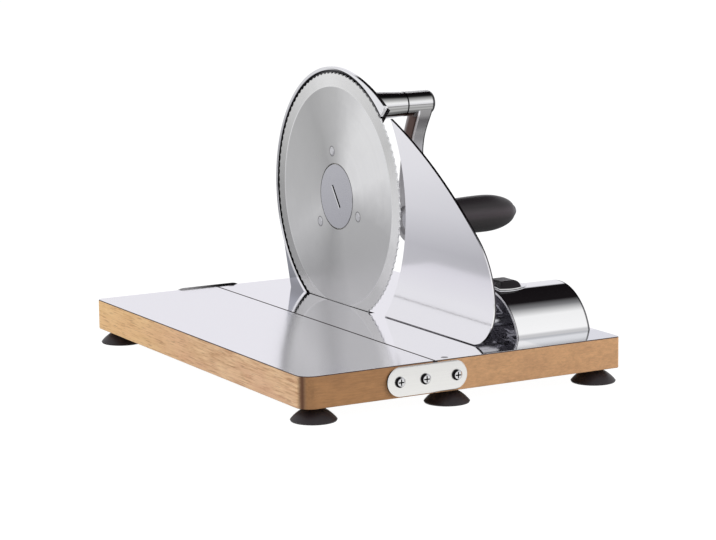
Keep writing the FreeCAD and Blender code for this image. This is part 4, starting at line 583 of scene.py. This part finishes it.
def cross_screw_finish():
    """Polished screw head whose cross recess and a ring round its crown are painted dark as shade,
    the ring darkest on its -X side.
    """
    finish = Finish("cross_screw_steel", metallic=1.0)
    x, y, z = finish.split(finish.place)
    rise = z - HINGE_Z
    cloud = finish.noise(300.0, 2.0, 0.5)
    deep = y.math("ABSOLUTE") < HEAD_Y - 0.15 * MM
    recess = crown_shade = None
    for place in SCREW_X:
        across = x - place
        away = reach(across, rise)
        nearer = across.math("ABSOLUTE").math("MINIMUM", rise.math("ABSOLUTE"))
        # The cross recess is painted dark as shade.
        hole = (away < CROSS_REACH) * deep.math("MAXIMUM", nearer < CROSS_HALF_WIDTH)
        # A ring round the crown is painted dark as shade, mostly on its -X side.
        ring = away.between(2.6 * MM, 2.8 * MM, 4.2 * MM, 4.4 * MM)
        ring = ring * (1.0 - across.fade(-0.6 * MM, 1.2 * MM) * 0.8)
        recess = hole if recess is None else recess + hole
        crown_shade = ring if crown_shade is None else crown_shade + ring
    dark = (recess + crown_shade).math("MINIMUM", 1.0)
    face = finish.blend(cloud * 0.3, linear(238, 238, 240), linear(205, 205, 208))
    finish.set(base_color=finish.blend(dark, face, linear(24, 22, 24)))
    finish.set(roughness=0.12 + cloud * 0.06 + dark * 0.2)
    finish.relief(cloud, 0.01, 0.4)
    return finish


def chrome_finish(name, tint, roughness, wave, scale):
    """Polished plating: almost a mirror with a slow wave of the metal under it."""
    finish = Finish(name, metallic=1.0)
    cloud = finish.noise(scale, 3.0, 0.5)
    finish.set(base_color=finish.blend(cloud * 0.4, tint, darker(tint, 0.93)))
    finish.set(roughness=roughness + cloud * 0.03)
    finish.relief(finish.noise(scale * 0.8, 1.0, 0.4), wave, 0.12)
    return finish


def moulded_finish(name, tint, roughness, grain, depth, ior=1.5):
    """Moulded plastic or rubber with a fine skin texture and rubbed places."""
    finish = Finish(name, ior=ior)
    skin = finish.noise(grain, 3.0, 0.6)
    rub = finish.noise(55.0, 3.0, 0.55)
    paler = tuple(value * 1.6 + 0.004 for value in tint)
    finish.set(base_color=finish.blend(rub.fade(0.45, 0.75) * 0.6, tint, paler))
    finish.set(roughness=roughness + (rub - 0.5) * 0.12 + (skin - 0.5) * 0.08)
    finish.relief(skin, depth, 0.5)
    return finish


def grip_finish():
    """Dark plum-black moulding, rougher and painted darker underneath as shade, with a soft
    painted highlight along its upper half.
    """
    low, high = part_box("grip")
    centre = (low + high) / 2.0
    plastic = tuple(looks()[3].plastic)
    finish = Finish("grip_plastic", ior=1.42)
    height = finish.split(finish.place)[2] - centre.z
    skin = finish.noise(1500.0, 3.0, 0.6)
    rub = finish.noise(40.0, 3.0, 0.55, (0.4, 1.0, 1.0))
    # The underside is painted darker as shade.
    under = 1.0 - height.fade(-11.0 * MM, -1.0 * MM)
    # A soft painted highlight band along the upper half.
    painted_highlight = height.between(-4.0 * MM, 1.0 * MM, 2.0 * MM, 8.0 * MM)
    shine = tuple(value * 3.2 + 0.016 for value in plastic)
    body = finish.blend(painted_highlight * 0.8 + rub * 0.15, plastic, shine)
    finish.set(base_color=finish.blend(under, body, linear(14, 10, 12)))
    finish.set(roughness=0.34 + (rub - 0.5) * 0.1 + (skin - 0.5) * 0.08 + under * 0.2)
    finish.relief(skin, 0.015, 0.5)
    return finish


def crinkled_finish():
    """Dark cast end: glossy folds, round like the rim above and level below, with pale lines
    painted along them as highlights.
    """
    low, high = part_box("slide_shell")
    finish = Finish("crinkled_dark_casting", metallic=0.9)
    warp = finish.noise(90.0, 2.0, 0.5) - 0.5
    x, y, z = finish.split(finish.place)
    across, rise = y - (low.y + high.y) / 2.0, z - TOP_Z + 9.0 * MM
    radius = reach(across, rise)
    level = 1.0 - z.fade(TOP_Z + 8.0 * MM, TOP_Z + 16.0 * MM)
    place = radius + (z - radius) * level + warp * 6.0 * MM
    round_rim = rise.math("ARCTAN2", across) * 4.0 * MM
    fold = finish.noise_at(finish.join(place, round_rim, x * 0.3), 330.0, 3.0, 0.6)
    fine = finish.noise(420.0, 2.0, 0.5)
    # Pale lines along the folds are painted highlights.
    fold_highlight = fold.fade(0.53, 0.62)
    finish.set(base_color=finish.blend(fold_highlight * 0.8, linear(54, 52, 61), linear(196, 196, 204)))
    finish.set(roughness=0.16 + fine * 0.12)
    finish.relief(fold + fine * 0.1, 0.9, 0.8)
    return finish


def guard_finish():
    """Polished casting: painted shade in the recess behind the blade, a greyer lower rim with
    painted light and shade on its lip and the lower face painted grey as a reflection, a satin
    back painted darker as a dark reflection, painted reflection bands on the boss, painted dark
    lines at the tip and inside the rim, pale tip.
    """
    chrome = tuple(looks()[2].chrome)
    low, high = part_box("blade")
    centre = (low + high) / 2.0
    finish = Finish("guard_casting", metallic=1.0)
    x, y, z = finish.split(finish.place)
    across, rise = y - centre.y, z - centre.z
    radius = reach(across, rise)
    turn = (rise.math("ARCTAN2", across) / TURN + 0.25).math("FRACT")
    facing = finish.facing()
    cloud = finish.noise(26.0, 3.0, 0.5)
    grain = finish.noise(1300.0, 2.0, 0.6)
    behind = x - low.x
    tip = turn > TIP_TURN
    recess = (radius < RIM_INSIDE) * (behind > 0.0) * (behind < RECESS_DEPTH)
    recess = recess * (z > TOP_Z + 0.3 * MM) * (1.0 - tip)
    back = behind.between(*BACK_DEPTHS)
    # Painted shade in the recess behind the blade, by the angle round the blade.
    recess_shade = finish.ramp(turn, (
        (0.27, linear(26, 25, 28)),
        (0.31, linear(96, 95, 97)),
        (0.46, linear(92, 91, 94)),
        (0.52, linear(40, 39, 42)),
        (0.62, linear(44, 43, 46)),
    ))
    lip = (radius > RIM_INSIDE) * (radius < RIM_OUTSIDE) * (behind < LIP_DEPTH)
    # Painted light and shade on the rim's lip, by its angle round the blade.
    shade = finish.ramp(turn, (
        (0.188, linear(252, 252, 253)),
        (0.21, linear(160, 160, 162)),
        (0.28, linear(172, 172, 174)),
        (0.36, linear(206, 206, 208)),
        (0.46, linear(226, 226, 228)),
        (0.55, chrome),
    ))
    polished = finish.blend(cloud * 0.4, chrome, darker(chrome, 0.93))
    # The lower face on the +Y side is painted grey as a reflection, darker near the table.
    panel = (radius > RIM_OUTSIDE) * (across > 0.0) * (z < centre.z) * (facing[0] < -0.9)
    height = (z - TOP_Z).fade(2.0 * MM, 14.0 * MM)
    panel_shade = finish.blend(height, linear(150, 151, 156), linear(172, 174, 181))
    rim = finish.blend(panel, finish.blend(lip, polished, shade), panel_shade)
    # The back is satin, painted darker grey as a dark reflection.
    satin = finish.blend(grain, linear(156, 151, 150), linear(124, 119, 118))
    # The boss gets painted reflection bands.
    boss = behind.fade(*BOSS_DEPTHS) * (z > HUB_Z - BOSS_REACH)
    bossed = finish.blend(boss, rim, painted_reflection_bands(finish, facing[2]))
    # Painted dark lines: along the tip's end wall and its back as dark reflections, and inside the
    # rim as shadow.
    end_wall = tip * (facing[2] < -0.3) * (x > TIP_EDGE_X)
    outline = end_wall * (x < TIP_EDGE_X + 0.8 * MM) + tip * (facing[0] > 0.3)
    inner_line = turn.fade(0.47, 0.52) * (radius < RIM_INSIDE + 1.0 * MM) * (facing[0] < -0.8)
    pale = tip * (1.0 - end_wall) * (facing[0] < 0.3)
    outside = finish.blend(pale, finish.blend(back, bossed, satin), linear(250, 250, 252))
    outside = finish.blend(outline.math("MAXIMUM", inner_line), outside, linear(30, 27, 30))
    finish.set(metallic=1.0 - pale * (1.0 - inner_line) * 0.85)
    finish.set(base_color=finish.blend(recess * (1.0 - back), outside, recess_shade))
    matt = boss * facing[2].fade(0.88, 0.94) * 0.3
    cast = back * 0.26 + recess * (1.0 - back) * 0.4
    finish.set(roughness=0.06 + cloud * 0.03 + cast + pale * 0.5 + matt)
    finish.relief(cloud + grain * back * 0.12, 0.06, 0.5)
    return finish


def painted_reflection_bands(finish, upward):
    """Painted reflection bands of a polished round bar, by how far its surface looks up, -1 for
    straight down to 1.
    """
    stops = [(place, linear(tone, tone, tone)) for place, tone in REFLECTION_BAND_TONES]
    return finish.ramp(upward * 0.5 + 0.5, stops)


def crank_finish():
    """Chromed hub with painted reflection bands and a satin arm tinted by height as a painted
    reflection; its inner face is rougher and painted brownish as a reflection, the rounding beside
    it painted light, and its rounded edges and the hub's inner end painted dark.
    """
    chrome = tuple(looks()[2].chrome)
    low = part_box("crank_arm")[0]
    finish = Finish("crank_casting", metallic=1.0)
    x, y, z = finish.split(finish.place)
    facing = finish.facing()
    drop = (HUB_Z - z) / (100.0 * MM)
    # The arm's front is tinted by height as a painted reflection.
    front = finish.ramp(drop, (
        (0.070, linear(250, 249, 250)),
        (0.094, linear(218, 217, 218)),
        (0.126, linear(156, 154, 156)),
        (0.174, linear(172, 171, 173)),
        (0.222, linear(216, 215, 217)),
        (0.366, linear(202, 201, 204)),
        (0.72, chrome),
    ))
    hair = finish.noise(700.0, 2.0, 0.6, (1.0, 1.0, 0.08))
    arm = drop.fade(0.080, 0.105)
    # The inner face is painted brownish grey as a reflection.
    inner = arm * (facing[0] < -0.75)
    inside = inner * (1.0 - drop.fade(0.34, 0.42))
    # The rounding between inner face and front is painted light.
    soft_edge = arm * (facing[0] < -0.15) * (facing[0] > -0.75)
    sideways = (y - low.y).fade(19.0 * MM, 24.0 * MM)
    inner_reflection_tint = finish.blend(sideways, linear(112, 90, 83), linear(190, 186, 186))
    brushed = finish.blend(hair * 0.3, front, linear(134, 133, 135))
    cast = finish.blend(arm, painted_reflection_bands(finish, facing[2]), brushed)
    # A band at the hub's inner end is painted dark as shade; the rounded edges are painted dark as
    # reflections.
    seam_shade = 1.0 - (x - low.x).fade(0.7 * MM, 1.0 * MM)
    rounding = facing[0].fade(0.04, 0.24) * (1.0 - facing[0].fade(0.92, 0.98))
    flank = (rounding * 0.94).math("MAXIMUM", seam_shade * (1.0 - arm))
    faced = finish.blend(soft_edge, finish.blend(inside, cast, inner_reflection_tint), linear(206, 202, 202))
    finish.set(base_color=finish.blend(flank, faced, linear(26, 24, 26)))
    crown = (1.0 - arm) * facing[2].fade(0.88, 0.94) * (1.0 - flank)
    satin = arm * 0.12 + (inner + soft_edge) * 0.3
    finish.set(roughness=0.07 + satin + crown * 0.5 + (hair - 0.5) * arm * 0.08)
    finish.relief(hair * arm * 0.25 + finish.noise(34.0, 1.0, 0.4), 0.04, 0.2)
    return finish


def shell_finish():
    """Bright chrome tube: its cut rim is matt and pale, a fine dark line of painted shade runs
    along both edges, and its foot is painted darker as shade.
    """
    chrome = tuple(looks()[2].chrome)
    low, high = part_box("slide_shell")
    finish = Finish("shell_chrome", metallic=1.0)
    x, _, z = finish.split(finish.place)
    cloud = finish.noise(18.0, 3.0, 0.5)
    rim = 1.0 - (x - low.x).fade(0.12 * MM, 0.2 * MM)
    # Painted shade: a fine dark line beside the rim and another along the far end.
    line = (x - low.x).between(0.2 * MM, 0.4 * MM, 0.9 * MM, 1.2 * MM)
    far = (x - high.x).fade(-2.2 * MM, -1.5 * MM)
    face = finish.blend(cloud * 0.4, linear(244, 244, 245), chrome)
    # The foot is painted darker as shade.
    foot = 1.0 - z.fade(TOP_Z + 1.0 * MM, TOP_Z + 3.0 * MM)
    face = finish.blend(foot, face, linear(204, 204, 206))
    edged = finish.blend(line.math("MAXIMUM", far) * 0.85, face, linear(40, 37, 40))
    finish.set(base_color=finish.blend(rim, edged, linear(236, 236, 238)))
    finish.set(roughness=0.03 + cloud * 0.03 + rim * 0.35)
    finish.relief(finish.noise(14.0, 1.0, 0.4), 0.03, 0.12)
    return finish


def brass_finish():
    """Reamed brass of the bushes."""
    finish = Finish("reamed_brass", metallic=1.0)
    hair = finish.noise(900.0, 2.0, 0.6, (0.05, 1.0, 1.0))
    finish.set(base_color=finish.blend(hair, linear(214, 176, 104), linear(178, 140, 74)))
    finish.set(roughness=0.24 + hair * 0.15)
    finish.relief(hair, 0.01, 0.5)
    return finish


# ---------------------------------------------------------------- pieces


class SLICER_OT_boards(bpy.types.Operator):
    """Finish the two wooden boards and their steel covers"""

    bl_idname = "slicer.boards"
    bl_label = "Boards and covers"
    bl_options = {"REGISTER", "UNDO"}

    def execute(self, context):
        dress(wood_finish("left_board_wood", 0.4, linear(190, 134, 82), 0.12), "left_board")
        dress(wood_finish("right_board_wood", 1.7, linear(228, 174, 124), 0.3), "right_board")
        dress(cover_finish("left_cover_steel", 0.085), "left_sheet")
        dress(cover_finish("right_cover_steel", 0.0), "right_sheet")
        return {"FINISHED"}


class SLICER_OT_hinge(bpy.types.Operator):
    """Finish the hinge plates and every screw"""

    bl_idname = "slicer.hinge"
    bl_label = "Hinge plates and screws"
    bl_options = {"REGISTER", "UNDO"}

    def execute(self, context):
        dress(front_plate_finish(), "hinge_plate_front")
        dress(dark_edge_finish(), "hinge_plate_rear")
        dress(cross_screw_finish(), "plate_screws", "pivot_screw_front", "pivot_screw_rear")
        screw = satin_finish("screw_steel", linear(176, 174, 176), 0.22)
        dress(screw, "base_screws", "post_screws", "hub_setscrew", "left_foot_studs",
              "right_foot_studs")
        dress(satin_finish("small_screw_steel", linear(96, 92, 94), 0.3), "sheet_screws")
        return {"FINISHED"}


class SLICER_OT_feet(bpy.types.Operator):
    """Finish the six suction feet"""

    bl_idname = "slicer.feet"
    bl_label = "Suction feet"
    bl_options = {"REGISTER", "UNDO"}

    def execute(self, context):
        rubber = moulded_finish("foot_rubber", tuple(looks()[3].rubber), 0.46, 900.0, 0.05)
        for side in ("left", "middle", "right"):
            dress(rubber, f"foot_{side}_front", f"foot_{side}_rear")
        return {"FINISHED"}


class SLICER_OT_blade(bpy.types.Operator):
    """Finish the blade, its rivets, the lock, the gears and the bushes"""

    bl_idname = "slicer.blade"
    bl_label = "Blade"
    bl_options = {"REGISTER", "UNDO"}

    def execute(self, context):
        dress(blade_finish(), "blade")
        dress(lock_finish(), "blade_lock")
        rivet = satin_finish("rivet_steel", linear(212, 212, 214), 0.20, EVEN, 0.008)
        dress(rivet, "blade_rivets")
        gear = moulded_finish("gear_nylon", linear(222, 218, 205), 0.42, 700.0, 0.03)
        dress(gear, "blade_gear")
        dress(satin_finish("pinion_steel", linear(170, 170, 174), 0.3), "crank_pinion")
        dress(brass_finish(), "blade_bush", "crank_bush_inner", "crank_bush_outer")
        return {"FINISHED"}


class SLICER_OT_guard(bpy.types.Operator):
    """Finish the cast guard and the blade's post"""

    bl_idname = "slicer.guard"
    bl_label = "Blade guard"
    bl_options = {"REGISTER", "UNDO"}

    def execute(self, context):
        dress(guard_finish(), "blade_housing")
        post = satin_finish("post_steel", linear(190, 190, 194), 0.24, (1.0, 0.04, 0.04))
        dress(post, "blade_post")
        return {"FINISHED"}


class SLICER_OT_crank(bpy.types.Operator):
    """Finish the crank, its shaft, the grip and the guide rods"""

    bl_idname = "slicer.crank"
    bl_label = "Crank and grip"
    bl_options = {"REGISTER", "UNDO"}

    def execute(self, context):
        dress(crank_finish(), "crank_arm")
        shaft = satin_finish("shaft_steel", linear(200, 200, 204), 0.2, (1.0, 0.03, 0.03))
        dress(shaft, "crank_shaft", "grip_axle", "guide_rod_front", "guide_rod_rear")
        dress(grip_finish(), "grip")
        return {"FINISHED"}


class SLICER_OT_thickness(bpy.types.Operator):
    """Finish the thickness plate, its slide and the half-round shell"""

    bl_idname = "slicer.thickness"
    bl_label = "Thickness slide"
    bl_options = {"REGISTER", "UNDO"}

    def execute(self, context):
        chrome = tuple(looks()[2].chrome)
        dress(mirror_finish(), "thickness_plate")
        bracket = satin_finish("bracket_steel", linear(196, 196, 200), 0.28, (1.0, 0.04, 1.0))
        dress(bracket, "plate_bracket", "slide_block")
        dress(shell_finish(), "slide_shell")
        dress(chrome_finish("saddle_chrome", chrome, 0.10, 0.03, 18.0), "knob_saddle")
        dress(crinkled_finish(), "shell_end_plate", "shell_bulkhead")
        knob = moulded_finish("knob_plastic", linear(19, 15, 19), 0.22, 1600.0, 0.012, 1.34)
        dress(knob, "thumb_knob")
        return {"FINISHED"}


# ---------------------------------------------------------------- stage


FLOOR_HALF = 14.0
KEY_LAMP = {"place": (-1.7, 0.4, 1.15), "aim": (0.0, 0.0, 0.05), "size": 1.2}
FRONT_LAMP = {"place": (0.62, -0.66, 0.5), "aim": (0.05, -0.15, 0.03), "size": 0.35}
CAMERA_PLACE = Vector((-0.96103, -1.68171, 0.40864))
CAMERA_YAW = 0.5111130      # from +Y to +X
CAMERA_PITCH = 0.1746070    # downward
CAMERA_ROLL = -0.0119175
CAMERA_REACH = 60.0
SENSOR_WIDTH = 36.0         # millimetres


def studio_world(studio):
    """White to the camera, an even fill for matt things, pale sky and a dark screen for polish."""
    world = bpy.data.worlds.new("studio")
    bpy.context.scene.world = world
    world.use_nodes = True
    tree = Tree(world.node_tree)
    x, y, z = tree.split(tree.add("ShaderNodeTexCoord").out("Generated"))
    turn = z.math("ARCTAN2", y) * (1.0 / math.pi)
    # From the horizon at +Y (0) over the top (0.5) to the horizon at -Y (1)
    zones = tree.ramp(turn, (
        (0.00, linear(238, 237, 242)),
        (0.19, linear(240, 239, 244)),
        (0.215, linear(20, 17, 19)),
        (0.48, linear(26, 23, 25)),
        (0.56, linear(132, 132, 134)),
        (0.67, linear(250, 250, 250)),
        (0.86, linear(255, 255, 255)),
        (0.99, linear(222, 222, 225)),
    ))
    sky = tree.ramp(z * 0.5 + 0.5, (
        (0.50, linear(238, 237, 242)),
        (0.75, linear(232, 232, 234)),
        (1.00, linear(214, 214, 217)),
    ))
    gloss = tree.blend(x.between(0.28, 0.34, 0.62, 0.68), sky, zones)
    path = tree.add("ShaderNodeLightPath")
    fill = tuple(studio.fill * share for share in (1.0, 1.0, 1.01))
    light = tree.blend(path.out("Is Glossy Ray"), fill, gloss)
    seen = path.out("Is Camera Ray").math("MAXIMUM", path.out("Is Transmission Ray"))
    colour = tree.blend(seen, light, tuple(studio.background))
    end = tree.add("ShaderNodeOutputWorld")
    back = tree.add("ShaderNodeBackground", {}, {"Color": colour})
    tree.tree.links.new(back.node.outputs[0], end.node.inputs[0])


def painted_floor_reflection(finish):
    """Painted light and shade that polished metal sees on the floor: near it grey at the back and
    pale at the front.
    """
    x, y = finish.split(finish.place)[:2]
    away = reach(x, y)
    behind = finish.ramp(away * 0.5, (
        (0.08, linear(166, 166, 170)),
        (0.15, linear(187, 187, 191)),
        (0.32, linear(213, 213, 217)),
        (0.52, linear(232, 232, 235)),
        (0.90, linear(242, 242, 244)),
    ))
    before = finish.ramp(away * 0.5, (
        (0.12, linear(246, 246, 245)),
        (0.30, linear(206, 206, 206)),
        (0.48, linear(136, 135, 136)),
        (0.75, linear(150, 149, 150)),
        (1.00, linear(214, 214, 216)),
    ))
    return finish.blend((y * -1.0).fade(-0.12, 0.1), behind, before)


def studio_floor(studio):
    """A wide plain floor: white to the camera with a soft shadow, glowing with painted light and
    shade for polished metal.
    """
    mesh = bpy.data.meshes.new("floor")
    half = FLOOR_HALF
    corners = [(-half, -half, 0), (half, -half, 0), (half, half, 0), (-half, half, 0)]
    mesh.from_pydata(corners, [], [(0, 1, 2, 3)])
    floor = bpy.data.objects.new("floor", mesh)
    bpy.context.scene.collection.objects.link(floor)
    white = tuple(studio.background)
    finish = Finish("floor_white", base_color=darker(white, 0.62), roughness=0.9)
    matt = Field(finish, finish.surface.outputs[0])
    path = finish.add("ShaderNodeLightPath")
    soft = finish.mix(0.78, matt, finish.glow(white))
    bright = finish.add("ShaderNodeAddShader", {}, {0: soft, 1: finish.glow(white, 0.2)}).out(0)
    by_camera = finish.mix(path.out("Is Camera Ray"), matt, bright)
    # For glossy rays the floor glows with painted light and shade.
    mirrored = finish.glow(painted_floor_reflection(finish))
    by_gloss = finish.mix(path.out("Is Glossy Ray"), by_camera, mirrored)
    finish.feed(finish.end.inputs[0], by_gloss)
    mesh.materials.append(finish.material)


def lamp(name, place, aim, size, power):
    """A soft square lamp that polished metal doesn't mirror."""
    data = bpy.data.lights.new(name, "AREA")
    data.shape = "SQUARE"
    data.size = size
    data.energy = power
    thing = bpy.data.objects.new(name, data)
    bpy.context.scene.collection.objects.link(thing)
    thing.location = place
    thing.rotation_euler = (Vector(aim) - Vector(place)).to_track_quat("-Z", "Y").to_euler()
    thing.visible_glossy = False


def camera_turn():
    """The camera's rotation from its yaw, pitch and roll."""
    ahead = Vector((math.sin(CAMERA_YAW) * math.cos(CAMERA_PITCH),
                    math.cos(CAMERA_YAW) * math.cos(CAMERA_PITCH),
                    -math.sin(CAMERA_PITCH)))
    level = ahead.cross(Vector((0, 0, 1))).normalized()
    upward = level.cross(ahead)
    right = level * math.cos(CAMERA_ROLL) + upward * math.sin(CAMERA_ROLL)
    up = upward * math.cos(CAMERA_ROLL) - level * math.sin(CAMERA_ROLL)
    return Matrix((right, up, -ahead)).transposed().to_4x4()


class SLICER_OT_stage(bpy.types.Operator):
    """Build the floor, the light and the camera"""

    bl_idname = "slicer.stage"
    bl_label = "Stage"
    bl_options = {"REGISTER", "UNDO"}

    def execute(self, context):
        studio = looks()[0]
        scene = bpy.context.scene
        scene.view_settings.view_transform = "Standard"
        studio_world(studio)
        studio_floor(studio)
        lamp("key_lamp", power=studio.key_power, **KEY_LAMP)
        lamp("front_lamp", power=studio.front_power, **FRONT_LAMP)
        data = bpy.data.cameras.new("camera")
        data.sensor_width = SENSOR_WIDTH
        data.lens = studio.lens
        data.clip_end = CAMERA_REACH
        camera = bpy.data.objects.new("camera", data)
        scene.collection.objects.link(camera)
        camera.matrix_world = Matrix.Translation(CAMERA_PLACE) @ camera_turn()
        scene.camera = camera
        return {"FINISHED"}


# ---------------------------------------------------------------- add-on


class SLICER_PT_looks(bpy.types.Panel):
    """Sidebar panel that lists the pieces"""

    bl_label = "Slicer"
    bl_idname = "SLICER_PT_looks"
    bl_space_type = "VIEW_3D"
    bl_region_type = "UI"
    bl_category = "Slicer"

    def draw(self, context):
        for operator in OPERATORS:
            self.layout.operator(operator.bl_idname)
        for group in looks():
            for name in group.__annotations__:
                self.layout.prop(group, name)


OPERATORS = (
    SLICER_OT_stage,
    SLICER_OT_boards,
    SLICER_OT_hinge,
    SLICER_OT_feet,
    SLICER_OT_blade,
    SLICER_OT_guard,
    SLICER_OT_crank,
    SLICER_OT_thickness,
)
GROUPS = {
    "slicer_studio": StudioLook,
    "slicer_boards": BoardLook,
    "slicer_metal": MetalLook,
    "slicer_black": BlackLook,
}


def register():
    for group in GROUPS.values():
        bpy.utils.register_class(group)
    for name, group in GROUPS.items():
        setattr(bpy.types.Scene, name, PointerProperty(type=group))
    for operator in OPERATORS:
        bpy.utils.register_class(operator)
    bpy.utils.register_class(SLICER_PT_looks)


def unregister():
    bpy.utils.unregister_class(SLICER_PT_looks)
    for operator in reversed(OPERATORS):
        bpy.utils.unregister_class(operator)
    for name, group in GROUPS.items():
        delattr(bpy.types.Scene, name)
        bpy.utils.unregister_class(group)


def main():
    register()
    bpy.ops.slicer.stage()
    bpy.ops.slicer.boards()
    bpy.ops.slicer.hinge()
    bpy.ops.slicer.feet()
    bpy.ops.slicer.blade()
    bpy.ops.slicer.guard()
    bpy.ops.slicer.crank()
    bpy.ops.slicer.thickness()


if __name__ == "__main__":
    main()
